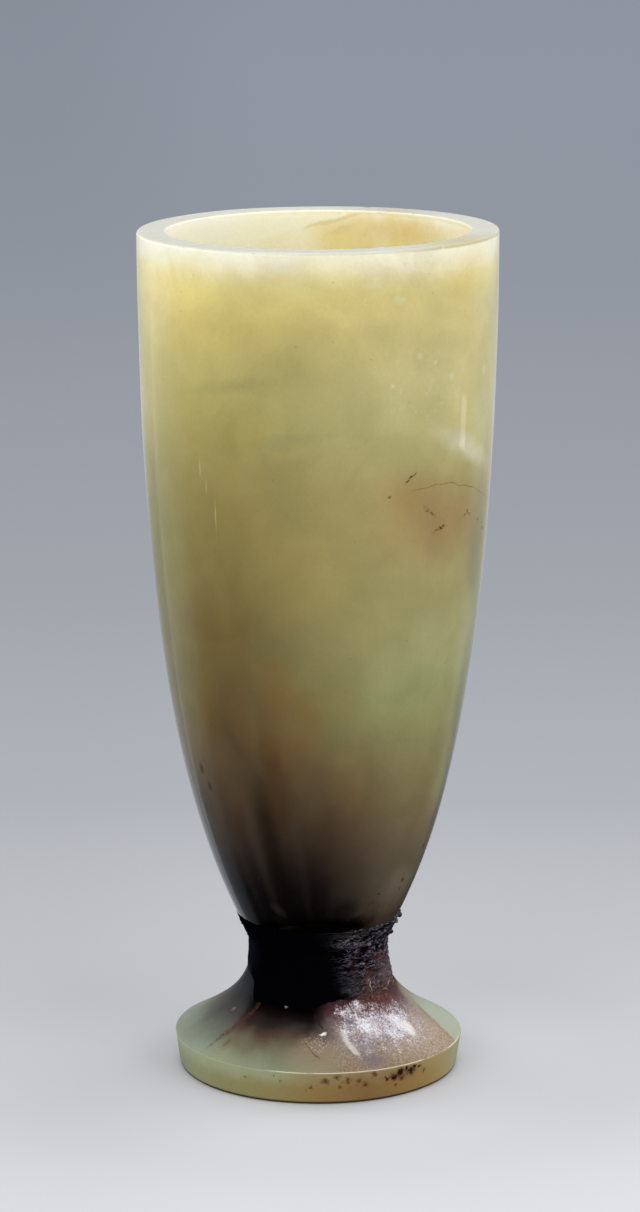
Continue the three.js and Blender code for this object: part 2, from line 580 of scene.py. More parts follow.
def foot_outline():
    underside = foot_radius - foot_undercut
    slope = math.degrees(math.atan2(foot_edge_height, foot_undercut)) - 90
    corner = arc(underside - foot_corner_round, foot_corner_round, foot_corner_round, -90, slope)
    base = [(0, 0), (underside * 0.5, 0), (underside - 2 * foot_corner_round, 0)]
    edge_radius = foot_radius - foot_edge_round * math.sin(math.radians(-slope)) - edge_inset
    edge_start = (edge_radius, foot_edge_height - foot_edge_round)
    edge_end = next(point for point in flare if math.dist(point, flare[0]) > foot_edge_round)
    edge = bezier([edge_start, (foot_radius, foot_edge_height), edge_end], steps=6)
    band = [mixed_point(corner[-1], edge_start, s) for s in (0.05, 0.2, 0.35, 0.5, 0.65, 0.8, 0.95)]
    top = [point for point in flare if point[1] > edge_end[1]]
    neck = rise(foot_radius_at, flare_top, foot_height - near_seam, steps=6)
    joint = [(socket_radius, foot_height), (socket_radius, socket_bottom), (0, socket_bottom)]
    return without_doubles(
        zoned(base + corner + band + edge[:3], SIDE)
        + zoned(edge[3:4], EDGE)
        + zoned(edge[4:] + top + neck + [(neck_radius, foot_height)], BEYOND)
        + zoned(joint, JOINT)
    )


print("outline points:", len(beaker_outline()), "beaker,", len(foot_outline()), "foot")

# %% [markdown]
# ## Worn edges
# A ground rim picks up small chips. They are cut into the mesh, because a chip catches the light along
# an edge where bump alone can't. The tree looks at how far a point lies from a circle, the edge, and
# pushes it into the stone where a noise that runs along the edge rises above a limit.

# %% Tree that wears an edge
chip_slope = 0.12


def make_wear_tree():
    titles = ("Edge radius", "Edge height", "Reach", "Depth", "Chip size", "Limit", "Inward", "Seed")
    tree, n, given, result = shape_tree("worn_edge", *titles)
    x, y, z = n.parts(n.position())
    radius = n.length(x, y)
    off_edge = n.length(n.minus(radius, given["Edge radius"]), n.minus(z, given["Edge height"]))
    near = n.remap(off_edge, given["Reach"], 0.0)
    chips = n.lumps(n.position(), n.over(1.0, given["Chip size"]), detail=3.0, seed=given["Seed"])[0]
    above = n.remap(chips, given["Limit"], n.plus(given["Limit"], chip_slope))
    amount = n.times(near, above, given["Depth"])
    side_step = n.over(n.times(given["Inward"], amount), radius)
    push = n.joined(n.times(x, side_step), n.times(y, side_step), n.times(amount, -1.0))
    n.feed(result["Piece"], n.moved(given["Piece"], "Offset", push))
    return tree


wear_tree = make_wear_tree()
print("nodes in the wear tree:", len(wear_tree.nodes))

# %% [markdown]
# ## A hand-ground surface
# Nothing on the real cup is quite round. A slow noise moves the skin by about a tenth of a millimetre,
# which is too little to see in the outline but bends the reflections, and the top and the bottom lean a
# little against each other.


# %% Tree for the hand-ground surface
def make_hand_tree():
    tree, n, given, result = shape_tree("hand_ground", "Waver", "Lump", "Tilt", "Tilt from", "Tilt to")
    x, _, z = n.parts(n.position())
    lumps = n.lumps(n.position(), n.over(1.0, given["Lump"]), detail=1.0)[0]
    centred = n.minus(lumps, 0.5)
    worked = n.math("MINIMUM", n.mark("zone"), 1.0)
    out = n.scaled(n.normal(), n.times(centred, given["Waver"], worked))
    lean = n.times(x, given["Tilt"], n.remap(z, given["Tilt from"], given["Tilt to"]))
    push = n.vector("ADD", out, n.joined(0.0, 0.0, lean))
    n.feed(result["Piece"], n.moved(given["Piece"], "Offset", push))
    return tree


hand_tree = make_hand_tree()
print("nodes in the hand tree:", len(hand_tree.nodes))

# %% [markdown]
# ## Shared effects
# Four shader groups serve the finishes. The first says where a point lies round the axis: its angle from
# the front, to the right in degrees, and its height in millimetres. It can let that place wander with a
# noise, so whatever is drawn by angle and height gets a ragged edge. The second makes a patch at a place,
# for stains, clouds and specks, and for painted light, shade and glints. The third draws a line from one
# place to another. The fourth is the fine mottling that runs through the stone.


# %% Group: place round the axis
def make_around_group():
    tree, n, given, result = effect_group("place_round_axis", ["Lump size", "Wander"], ["Angle", "Height"])
    place = n.add("ShaderNodeTexCoord")["Object"]
    lumps = n.lumps(place, n.over(1 / MM, given["Lump size"]), detail=4.0)["Color"]
    shift = n.scaled(n.vector("SUBTRACT", lumps, (0.5, 0.5, 0.5)), n.times(given["Wander"], MM))
    x, y, z = n.parts(n.vector("ADD", place, shift))
    n.feed(result["Angle"], n.turn_of(x, y))
    n.feed(result["Height"], n.over(z, MM))
    return tree


around_group = make_around_group()
print("nodes that find the place:", len(around_group.nodes))


# %% Group: a patch at a place
def make_patch_group():
    shape = ["Angle", "Height", "Half width", "Half height", "Lean", "Core"]
    tree, n, given, result = effect_group("patch_at_place", ["Place angle", "Place height", *shape], ["Mask"])
    off_angle = n.minus(given["Place angle"], given["Angle"])
    middle = n.sloped(off_angle, given["Lean"], given["Height"])
    across = n.over(off_angle, given["Half width"])
    along = n.over(n.minus(given["Place height"], middle), given["Half height"])
    n.feed(result["Mask"], n.remap(n.length(across, along), 1.0, given["Core"]))
    return tree


patch_group = make_patch_group()
print("nodes in a patch:", len(patch_group.nodes))


# %% Group: a line between two places
def make_line_group():
    shape = ["From angle", "To angle", "From height", "To height", "Bow", "Width"]
    tree, n, given, result = effect_group("line_between", ["Place angle", "Place height", *shape], ["Mask"])
    span = n.minus(given["To angle"], given["From angle"])
    share = n.over(n.minus(given["Place angle"], given["From angle"]), span)
    climb = n.minus(given["To height"], given["From height"])
    level = n.sloped(share, climb, given["From height"])
    hump = n.times(share, n.minus(1.0, share), 4.0)
    level = n.sloped(hump, given["Bow"], level)
    on_line = n.remap(n.apart(given["Place height"], level), given["Width"], 0.0)
    n.feed(result["Mask"], n.times(on_line, n.between(share, 0.0, 0.1, 0.88, 1.0)))
    return tree


line_group = make_line_group()
print("nodes in a line:", len(line_group.nodes))


# %% Group: mottling in the stone
stone_cloud_size = 9.0
fleck_size = 1.2
grain_size = 0.4
wear_size = 5.0
pinprick_spacing = 2.6
pinprick_limit = 0.6


def make_mottle_group():
    masks = ["Cloud", "Fleck", "Grain", "Wear", "Pinprick"]
    tree, n, given, result = effect_group("stone_mottle", ["Cloud size"], masks)
    place = n.add("ShaderNodeTexCoord")["Object"]
    n.feed(result["Cloud"], n.lumps(place, n.over(1 / MM, given["Cloud size"]), 5.0, 0.55, 0.6)[0])
    n.feed(result["Fleck"], n.remap(n.noise(place, fleck_size, 4.0, 0.65), 0.5, 0.75))
    n.feed(result["Grain"], n.noise(place, grain_size, 3.0, 0.6))
    n.feed(result["Wear"], n.noise(place, wear_size, 6.0, 0.7))
    dots = n.add("ShaderNodeTexVoronoi", {"Vector": place, "Scale": 1 / (pinprick_spacing * MM)})
    chance, _, _ = n.parts(dots["Color"])
    dot = n.remap(dots["Distance"], 0.07, 0.03)
    n.feed(result["Pinprick"], n.times(dot, n.math("GREATER_THAN", chance, pinprick_limit)))
    return tree


mottle_group = make_mottle_group()
print("nodes in the mottling:", len(mottle_group.nodes))

# %% [markdown]
# ## Laying colours over each other
# A finish is painted as a maker would tint it: a ground colour first, then one thin veil after the other.
# Some veils are painted light and shade. Each veil has a mask, a strength and a tint. The helper keeps the
# Principled shader in the material itself, and only masks and colours come from the groups.


# %% Material helper
class Finish(Patterns):
    """A material's own nodes, with the shared effects at hand."""

    def __init__(self, name):
        self.material = bpy.data.materials.new(name)
        self.material.use_nodes = True
        super().__init__(self.material.node_tree)
        self.shader = self.tree.nodes["Principled BSDF"].inputs
        self.place = self.add("ShaderNodeTexCoord")["Object"]

    def around(self, lump_size=1.0, wander=0.0):
        return self.group(around_group, lump_size=lump_size, wander=wander)

    def patch(self, place, angle, height, half_width, half_height, lean=0.0, core=0.0):
        sizes = {"half_width": half_width, "half_height": half_height, "lean": lean, "core": core}
        where = {"place_angle": place["Angle"], "place_height": place["Height"]}
        return self.group(patch_group, angle=angle, height=height, **where, **sizes)["Mask"]

    def line(self, place, start, end, bow=0.0, width=0.15):
        where = {"place_angle": place["Angle"], "place_height": place["Height"]}
        first = {"from_angle": start[0], "from_height": start[1]}
        last = {"to_angle": end[0], "to_height": end[1]}
        return self.group(line_group, bow=bow, width=width, **where, **first, **last)["Mask"]

    def veil(self, colour, mask, strength, tint, blend="MIX"):
        """Lays a tint over a colour where a mask says."""
        return self.mix(self.math("MULTIPLY", mask, strength, clamp=True), colour, tint, blend)

    def veils(self, colour, *rows):
        """Lays patches over a colour. A row is a place, the patch's shape, a strength and a tint."""
        for place, shape, *tint in rows:
            colour = self.veil(colour, self.patch(place, *shape), *tint)
        return colour

    def shaded(self, share, colour, dark, light):
        """The colour, from darker to lighter by a share."""
        return self.mix(share, self.scaled(colour, dark), self.scaled(colour, light))

    def grained(self, colour, value):
        return self.mix(1.0, colour, self.joined(value, value, value), "MULTIPLY")

    def own(self, name):
        """A mark that the mesh carries."""
        return self.add("ShaderNodeAttribute", attribute_name=name)["Fac"]

    def bumped(self, height, strength, distance):
        inputs = {"Strength": strength, "Distance": distance * MM, "Height": height}
        self.feed(self.shader["Normal"], self.add("ShaderNodeBump", inputs)[0])

    def finished(self, **values):
        """Feeds the shader and gives the material."""
        for name, value in values.items():
            title = name.replace("_", " ").title().replace("Ior", "IOR")
            self.feed(self.shader[title], value)
        print(f"{self.material.name}: {len(self.tree.nodes)} nodes")
        return self.material


print("ways to paint:", [name for name in vars(Finish) if name[0] != "_"])

# %% [markdown]
# ## The beaker's stone
# The stone is translucent, pale and cloudy at the rim, honey and olive in the middle, and brown to black
# near the joint, where lacquer shows through from below. The paler rim and the darker base are partly
# painted light and shade as well, for light that passes through the thin rim and not through the thick
# base. Left of the middle the brown climbs higher, and on the right it stays low and the stone is greener.
# Two ramps over the height are mixed by the angle, and the place wanders with a slow noise first, so that
# no edge runs level. Patches of painted light and shade brighten and darken it, and painted reflections
# streak its lower flank.

# %% Colours of the beaker, by height, and their shares, by angle
# The ramps are partly painted light and shade: the rim is paler and the base darker, for light that passes
# through the thin rim and not through the thick base.
left_stops = [
    (20, "000000"), (25.5, "080707"), (29, "131110"), (32, "221c19"), (36, "322922"), (41, "403528"),
    (47, "51422f"), (53, "5c4b30"), (60, "675736"), (68, "72613b"), (78, "837547"), (88, "928651"),
    (96, "a0955a"), (104, "b2a768"), (110, "c4b46d"), (114, "d3c57d"), (116.5, "e2d698"),
    (117.8, "ece4bc"), (119, "f4efd8"),
]
right_stops = [
    (20, "2c211b"), (25.5, "4a3e32"), (29, "5c5243"), (34, "685c48"), (41, "776b4d"), (47, "857b55"),
    (53, "929062"), (60, "999969"), (68, "a29d6c"), (78, "a49a69"), (88, "aea36f"), (96, "bfb77f"),
    (104, "c7bc85"), (110, "cec185"), (114, "d5c787"), (116.5, "e0d39a"), (117.8, "e8dfb6"),
    (119, "efe8cc"),
]
low_share = [
    (-180, 0.6), (-140, 0.6), (-75, 0.1), (-50, 0), (-4, 0), (8, 0.14), (20, 0.37), (30, 0.66), (42, 0.9),
    (55, 1), (110, 1), (155, 0.6), (180, 0.6),
]
high_share = [
    (-180, 0.6), (-140, 0.6), (-75, 0.3), (-50, 0.1), (-34, 0), (-24, 0.12), (-8, 0.36), (12, 0.66),
    (22, 0.84), (34, 0.97), (46, 1), (110, 1), (155, 0.6), (180, 0.6),
]
# The inside's colours are partly painted light as well: they are paler, for light that shines through the
# wall into the bowl.
cream_stops = [
    (36, "6a5a40"), (60, "9a8a5c"), (85, "c6ba86"), (104, "ece4bc"), (112, "f6f0d4"), (116, "fcf8e4"),
    (120, "fefcf2"),
]
honey_stops = [
    (36, "6a5a40"), (60, "9a8a5c"), (85, "c0b070"), (104, "e2d490"), (112, "ecdc92"), (116, "eede96"),
    (118, "f0e1a8"), (120, "ecdcb0"),
]
honey_share = [
    (-180, 0.6), (-160, 0.35), (-140, 0.05), (-90, 0.1), (0, 0.5), (100, 0.5), (128, 0.55), (150, 1),
    (166, 0.95), (180, 0.6),
]
print("stops on the beaker's left and right:", len(left_stops), len(right_stops))

# %% Marks on the beaker: angle, height, half width, half height
dark_specks = [
    (23.4, 86.7, 0.9, 0.2), (67.3, 81.1, 1.0, 0.3), (71.6, 80.3, 0.7, 0.22), (73.6, 79.4, 1.2, 0.4),
    (-57.2, 46.0, 2.0, 1.3), (-53.6, 43.6, 1.6, 1.2), (-64.0, 41.4, 2.2, 1.5), (-61.5, 39.6, 2.4, 1.4),
    (-61.5, 35.4, 2.2, 1.8), (-59.0, 32.6, 1.8, 0.9), (68.2, 33.6, 2.2, 0.6), (55.0, 29.2, 1.8, 0.6),
    (55.4, 27.9, 1.6, 0.3), (37.6, 27.9, 1.8, 0.3),
]
pale_flecks = [
    (33.2, 105.5, 1.8, 0.8), (39.2, 104.6, 1.2, 0.5), (46.7, 102.4, 2.2, 0.9), (23.8, 101.8, 1.3, 0.6),
    (65.9, 102.1, 1.8, 1.2), (25.9, 113.4, 3.0, 1.0), (17.6, 115.6, 4.0, 0.9),
]
# Thin pale lines high on the left flank.
thin_pale_lines = [(-40.9, 90.0, 0.35, 1.7), (-35.3, 83.6, 0.3, 3.4), (-38.6, 87.5, 0.25, 1.6)]
# Strokes run from one place to another, with a width and a strength.
dark_strokes = [
    ((28.8, 88.3), (33.2, 89.8), 0.26, 0.7), ((30.2, 88.9), (32.4, 89.5), 0.4, 0.7),
    ((36.0, 84.9), (42.2, 83.1), 0.5, 0.3), ((37.4, 84.2), (41.0, 83.6), 0.25, 0.45),
    ((39.8, 80.9), (47.6, 81.7), 0.22, 0.6), ((43.6, 81.4), (46.0, 81.7), 0.4, 0.8),
    ((56.4, 82.2), (58.6, 82.9), 0.22, 0.75), ((58.2, 82.9), (61.0, 82.1), 0.22, 0.75),
]
# Patches of painted light and shade multiply the stone's red, green and blue; some shift its tone as well.
painted_light_and_shade = [
    (-54, 103, 38, 24, 1.28, 1.28, 1.32), (-66, 111, 20, 8, 1.06, 1.08, 1.3),
    (-45, 70, 30, 22, 1.12, 1.14, 1.1), (-60, 74, 10, 24, 1.04, 1.13, 1.12),
    (-75, 78, 14, 20, 0.93, 1.05, 1.0), (-25, 86, 15, 11, 1.15, 1.13, 1.1),
    (-30, 54, 9, 8, 1.18, 1.14, 1.1), (-48, 45, 18, 10, 1.3, 1.3, 1.3),
    (0, 113, 50, 4, 1.07, 1.07, 1.06), (5, 117, 11, 2.5, 1.09, 1.1, 1.12),
    (60, 116, 24, 5, 1.06, 1.04, 0.95), (52, 118.4, 22, 1.6, 0.97, 0.95, 0.84),
    (54, 108, 16, 10, 1.07, 1.06, 1.08), (-8, 76, 28, 9, 1.13, 1.12, 1.05),
    (-58, 54, 11, 8, 1.14, 1.2, 1.1), (-52, 34, 13, 9, 1.3, 1.3, 1.3),
    (-36, 40, 9, 7, 1.25, 1.15, 1.08), (66, 44, 12, 8, 1.08, 1.15, 1.2),
    (66, 113, 16, 6, 1.01, 1.04, 1.18), (66, 94, 13, 7, 1.08, 1.11, 1.18),
    (-20, 95, 10, 4, 1.15, 1.13, 1.05), (-46, 57, 13, 7, 1.13, 1.1, 1.02),
    (5, 58, 17, 5, 1.0, 0.95, 0.84), (-20, 50, 8, 4, 0.9, 0.82, 0.75),
    (60, 62, 8, 5, 1.13, 1.1, 1.15), (12, 76, 40, 22, 1.07, 1.06, 1.02),
    (-15, 61, 13, 5, 1.1, 0.98, 0.88), (-10, 54, 20, 9, 1.05, 0.87, 0.8),
    (26, 62, 14, 5, 1.12, 1.12, 1.16), (46, 64, 15, 8, 1.14, 1.14, 1.22),
    (54, 99, 15, 9, 1.14, 1.12, 1.16), (70, 77, 13, 13, 0.68, 0.68, 0.62),
    (78, 54, 15, 22, 0.6, 0.6, 0.45), (66, 38, 18, 18, 1.15, 1.15, 1.15),
    (52, 27, 18, 5, 1.5, 1.55, 1.55), (12, 46, 12, 6, 1.2, 1.22, 1.12),
    (-19, 44, 12, 8, 0.85, 0.7, 0.66), (78, 36, 14, 14, 0.7, 0.72, 0.66),
]
print("marks on the beaker:", sum(map(len, (dark_specks, pale_flecks, thin_pale_lines, dark_strokes, painted_light_and_shade))))


# %% Finish of the beaker's outside
def beaker_ground(n, soft):
    """The stone's colour: two ramps mixed by the angle, then brighter and darker painted light and shade."""
    height = soft["Height"]
    low = n.round_curve(soft["Angle"], low_share)
    high = n.round_curve(soft["Angle"], high_share)
    share = n.sloped(n.remap(height, 30, 56), n.minus(high, low), low)
    colour = n.mix(share, n.ramp(height, 20, 120, left_stops), n.ramp(height, 20, 120, right_stops))
    for *mark, red, green, blue in painted_light_and_shade:
        lit = n.vector("MULTIPLY", colour, (red, green, blue))
        colour = n.mix(n.patch(soft, *mark, core=0.3), colour, lit)
    return colour


def beaker_clouds_and_reflections(n, colour, mottle, place, soft, torn):
    streaks = n.around(4.0, 1.0)
    slant = n.sloped(streaks["Height"], 0.4, streaks["Angle"])
    slanted = {"Angle": slant, "Height": streaks["Height"]}
    colour = n.veils(
        colour,
        (soft, (-8, 32, 22, 12), 0.4, "0c0706"),
        (slanted, (-8, 35, 8, 15, 0, 0.1), 0.6, "0c0504"),
        (soft, (14, 25, 15, 4.5, 0, 0.2), 0.6, "060304"),
        (soft, (8, 42, 38, 17), 0.9, "f6e4e2", "MULTIPLY"),
        (soft, (-12, 104, 20, 7), 0.2, "8c8650"),
        (soft, (45, 82.5, 36, 8.5), 0.55, "9c7450"),
        (torn, (30, 86.5, 20, 5), 0.35, "ac8750"),
        (soft, (34, 59, 22, 7), 0.2, "8d9f62"),
        (torn, (56, 92.1, 25, 2.7, -0.19), 0.65, "dad6ba"),
        (torn, (-30, 101.6, 26, 1.5, 0.08), 0.25, "858552"),
        (torn, (-10, 94.6, 22, 1.6, 0.08), 0.3, "828a60"),
    )
    cloudy = n.remap(mottle["Cloud"], 0.35, 0.7)
    colour = n.mix(0.22, colour, n.shaded(cloudy, colour, 0.7, 1.25))
    colour = n.mix(0.2, colour, n.shaded(mottle["Wear"], colour, 0.6, 1.4))
    # A whiter band of cloud below the rim, partly painted light that comes through the thin rim.
    whiter = n.times(n.remap(torn["Height"], 115.2, 118.8), n.remap(cloudy, 0.0, 0.8, 0.2, 0.9))
    colour = n.veil(colour, whiter, 0.6, "f7f2de")
    flecked = n.math(
        "MAXIMUM",
        n.patch(place, 34, 101, 30, 9, core=0.3),
        n.patch(place, 24, 117.6, 28, 2, core=0.2),
    )
    colour = n.veil(colour, n.times(mottle["Fleck"], flecked), 0.15, "e6e8cc")
    colour = n.veils(colour, *((n.around(0.9, 1.2), mark, 0.35, "dfe2c4") for mark in pale_flecks))
    # Pale upright streaks low on the front and a pale smear near the base are painted reflections.
    return n.veils(
        colour,
        (slanted, (-16.5, 36, 5, 16), 0.08, "6a6055"),
        (slanted, (5, 36, 5, 16), 0.05, "6a6055"),
        (slanted, (-28, 36, 5, 16), 0.05, "6a6055"),
        (streaks, (-25, 25.8, 8, 1.3, -0.1), 0.12, "5a5552"),
    )


def beaker_outside(n, mottle, place):
    soft = n.around(16.0, 5.0)
    torn = n.around(2.5, 2.0)
    colour = beaker_clouds_and_reflections(n, beaker_ground(n, soft), mottle, place, soft, torn)
    rusty = n.times(mottle["Fleck"], n.patch(torn, 34, 25.5, 24, 2.6, core=0.3))
    colour = n.veil(colour, rusty, 0.6, "2c1612")
    colour = n.veil(colour, mottle["Pinprick"], 0.25, "4e4122")
    crack = n.line(n.around(3.0, 1.6), (29, 87.2), (80, 82.6), bow=1.9, width=0.15)
    colour = n.veil(colour, crack, 0.75, "86702a")
    fine = n.around(0.5, 0.7)
    colour = n.veils(colour, *((fine, mark, 0.9, "2c1c12") for mark in dark_specks))
    jagged = n.around(0.7, 1.1)
    dotted = n.remap(mottle["Grain"], 0.42, 0.56, 0.25, 1.3)
    for start, end, width, strength in dark_strokes:
        stroke = n.times(n.line(jagged, start, end, width=width), dotted)
        colour = n.veil(colour, stroke, strength, "3a2414")
    colour = n.veils(colour, *((place, mark, 0.5, "d2d3a6") for mark in thin_pale_lines))
    rounding = n.remap(place["Height"], 119.5, 119.9)
    colour = n.veil(colour, rounding, 0.85, "bebdac")
    amber = n.times(rounding, n.patch(place, 54, 120, 32, 3, core=0.3))
    return n.veil(colour, amber, 0.5, "b09c60")


print("glows over the beaker:", len(painted_light_and_shade))


# %% Finish of the beaker's inside and rim
def beaker_inside(n, mottle, place):
    soft = n.around(4.0, 3.0)
    height = soft["Height"]
    share = n.times(n.round_curve(soft["Angle"], honey_share), n.remap(height, 119.8, 117.2, 0.65, 1.0))
    colour = n.mix(share, n.ramp(height, 36, 120, cream_stops), n.ramp(height, 36, 120, honey_stops))
    milky = n.times(n.remap(mottle["Cloud"], 0.45, 0.65), n.remap(place["Height"], 104, 114))
    colour = n.veil(colour, milky, 0.4, "fefbee")
    wavy = n.around(3.0, 1.6)
    back = {"Angle": n.math("WRAP", wavy["Angle"], 360.0, 0.0), "Height": wavy["Height"]}
    colour = n.veils(
        colour,
        (soft, (141, 117.4, 30, 2.6, 0, 0.3), 0.45, "e4cc78"),
        (back, (170, 117.2, 10, 1.0, -0.1), 0.25, "cfbc58"),
    )
    level = n.sloped(n.minus(back["Angle"], 183.0), -0.098, 117.6)
    above = n.remap(n.minus(back["Height"], level), -0.1, 0.5)
    above = n.times(above, n.between(back["Angle"], 155, 168, 195, 215))
    colour = n.veil(colour, above, 0.85, "fcf7e2")
    seam = n.line(back, (186, 117.2), (163, 119.3), bow=0.3, width=0.45)
    colour = n.veil(colour, seam, 0.3, "c2ae4c")
    brown = n.times(mottle["Grain"], n.patch(n.around(0.6, 0.8), 131, 115.8, 6, 0.6))
    colour = n.veil(colour, brown, 0.9, "7a5c26")
    return n.veil(colour, n.remap(place["Height"], 119.2, 119.7), 0.3, "c6bc98")


def beaker_rim(n, mottle):
    soft = n.around(2.0, 2.0)
    colour = n.mix(mottle["Wear"], "b3b2a5", "cdcbbb")
    amber = (soft, (54, 120, 30, 3), 0.8, "b8a468")
    grey = (soft, (150, 120, 30, 3), 0.8, "aaa488")
    return n.veils(colour, amber, grey)


def beaker_finish():
    n = Finish("polished_beaker_stone")
    place = n.around()
    mottle = n.group(mottle_group, cloud_size=stone_cloud_size)
    zone = n.own("zone")
    outside = beaker_outside(n, mottle, place)
    colour = n.mix(n.remap(zone, 2.2, 2.8), outside, beaker_inside(n, mottle, place))
    rim = n.remap(n.apart(zone, float(EDGE)), 0.8, 0.3)
    colour = n.mix(rim, colour, beaker_rim(n, mottle))
    colour = n.grained(colour, n.sloped(mottle["Grain"], 0.14, 0.93))
    stained = n.around(1.5, 1.5)
    level = n.plus(stained["Height"], n.remap(stained["Angle"], -10, -24, 0.0, 0.8))
    soaked = n.times(n.remap(level, 25.2, 23.2), n.between(stained["Angle"], -70, -58, 20, 48))
    n.bumped(mottle["Wear"], 0.06, 0.1)
    return n.finished(
        base_color=n.veil(colour, soaked, 1.0, "020203"),
        metallic=soaked,
        roughness=n.sloped(mottle["Wear"], 0.06, 0.02),
        ior=1.6,
        specular_ior_level=0.15,
        subsurface_weight=0.4,
        subsurface_radius=(1.0, 0.95, 0.6),
        subsurface_scale=3.0 * MM,
    )


beaker_stone = beaker_finish()

# %% [markdown]
# ## The foot's stone
# The foot is a greyer green. Lacquer has stained it brown and black below the neck, and that darkening is
# partly painted shade, where the beaker shades the foot. On the right flank a thin silvery film of it is
# left, torn and speckled, and its right edge is a rusty line against clean, pale green stone. The film's
# pale fields are partly painted sheen, and painted glints lie on the top. The narrow side is olive and
# amber, with rust that crept in from small flaws. A painted contact shadow darkens its lowest edge, and
# its top edge has a painted highlight on the front and right and painted shade on the left and back.

# %% Colours of the foot: the side by angle, the top by height, and their shares by angle
side_stops = [
    (-180, "888a70"), (-75, "8b927e"), (-60, "919572"), (-45, "918e64"), (-30, "918c5d"), (-15, "948557"),
    (0, "91784a"), (20, "86693f"), (45, "987b4b"), (60, "a18d5d"), (72, "a19e7c"), (100, "9ca288"),
    (180, "888a70"),
]
# Towards the neck the top darkens, partly from lacquer stain and partly as painted shade under the beaker.
green_stops = [
    (4.7, "868d7c"), (6, "777e6f"), (7, "66695d"), (8, "52534a"), (9, "454240"), (10, "363634"),
    (11, "29292a"), (12, "212123"), (13, "18181b"), (14, "08080b"), (16, "010204"),
]
brown_stops = [
    (4.7, "848970"), (6, "777960"), (7, "675f4a"), (8, "4e3e31"), (9, "281d19"), (10, "100909"),
    (11, "040203"), (12, "000000"),
]
tan_stops = [
    (4.7, "8e7a62"), (6, "92806c"), (7, "96867a"), (8.5, "94877f"), (9.6, "7c6a68"), (10.4, "64484a"),
    (11.2, "503334"), (12.2, "382527"), (13.2, "1e1518"), (14.5, "0c090b"),
]
upper_share = [(-180, 0.7), (-25, 0.7), (0, 0.25), (100, 0.25), (145, 0.7), (180, 0.7)]
brown_share = [(-180, 0), (-64, 0), (-52, 0.5), (-44, 1), (60, 1), (110, 0.6), (145, 0), (180, 0)]
tan_share = [(-180, 0), (-6, 0), (16, 1), (85, 1), (110, 0.5), (140, 0), (180, 0)]
# The film's pale tones are partly painted sheen.
film_tones = [(0.38, "64565e"), (0.44, "998b94"), (0.49, "b9aeb6"), (0.54, "d0c8cf"), (0.6, "ece8ec")]
print("stops round the foot's side:", len(side_stops))

# %% Marks on the foot: angle, height, half width, half height
rust_spots = [
    (3.0, 3.55, 3.2, 0.75), (7.5, 4.2, 2.4, 0.6), (11.8, 3.7, 1.8, 0.95), (16.4, 3.55, 1.9, 0.7),
    (19.0, 2.65, 1.8, 0.7), (8.8, 2.65, 1.2, 0.25), (22.7, 4.1, 1.9, 0.6), (-2.7, 2.55, 0.8, 0.25),
    (-4.4, 2.1, 0.8, 0.2), (-17.4, 4.1, 0.9, 0.3), (-15.4, 3.5, 0.7, 0.3), (-30.2, 3.25, 1.2, 0.2),
    (35.6, 2.75, 3.2, 0.6), (47.0, 2.95, 1.0, 0.5), (33.0, 1.7, 1.0, 0.4),
]
black_spots = [
    (28.2, 3.2, 2.0, 0.45), (31.6, 3.2, 2.4, 0.75), (34.4, 3.75, 2.4, 0.9), (39.9, 3.6, 2.8, 0.9),
    (37.2, 4.1, 1.6, 0.5), (44.1, 3.9, 1.2, 0.5), (41.6, 4.2, 1.2, 0.4),
]
# Painted glints have a lean and a strength too.
painted_glints = [
    (2.6, 8.45, 2.8, 0.24, 0.02, 0.95), (25.6, 10.2, 0.8, 1.1, 0.0, 0.7), (29.0, 11.3, 0.8, 0.3, 0.0, 0.6),
    (55.5, 7.5, 4.8, 1.1, 0.12, 0.7), (14.6, 8.0, 2.6, 1.1, -0.2, 0.5), (17.2, 6.8, 3.0, 0.7, -0.2, 0.45),
]
print("marks on the foot:", len(rust_spots) + len(black_spots) + len(painted_glints))


# %% Finish of the foot's narrow side
def foot_side(n, place):
    ragged = n.around(0.6, 1.5)
    colour = n.ramp(place["Angle"], -180, 180, side_stops)
    upper = n.remap(n.around(3.0, 2.0)["Height"], 2.0, 4.4)
    upper = n.times(upper, n.round_curve(place["Angle"], upper_share))
    colour = n.veil(colour, upper, 1.0, "a2aa8a")
    colour = n.veil(colour, n.patch(ragged, 36, 3.4, 13, 1.4), 0.6, "744620")
    broken = n.remap(n.noise(n.place, 0.35, 3.0, 0.7), 0.32, 0.48)
    for mark in rust_spots:
        colour = n.veil(colour, n.times(n.patch(ragged, *mark), broken), 0.95, "5a2a0c")
    flecks = n.remap(n.noise(n.place, 0.55, 4.0, 0.75), 0.54, 0.64)
    colour = n.veil(colour, n.times(flecks, n.patch(ragged, 12, 3.4, 24, 1.6)), 0.7, "6e3c14")
    for mark in black_spots:
        colour = n.veil(colour, n.patch(ragged, *mark, core=0.2), 0.97, "1c0a0a")
    # The lowest half millimetre of the side is painted dark, as the contact shadow under the foot.
    return n.veil(colour, n.remap(place["Height"], 0.5, 0.28), 0.85, "2a2724")


print("spots on the foot's side:", len(rust_spots) + len(black_spots))


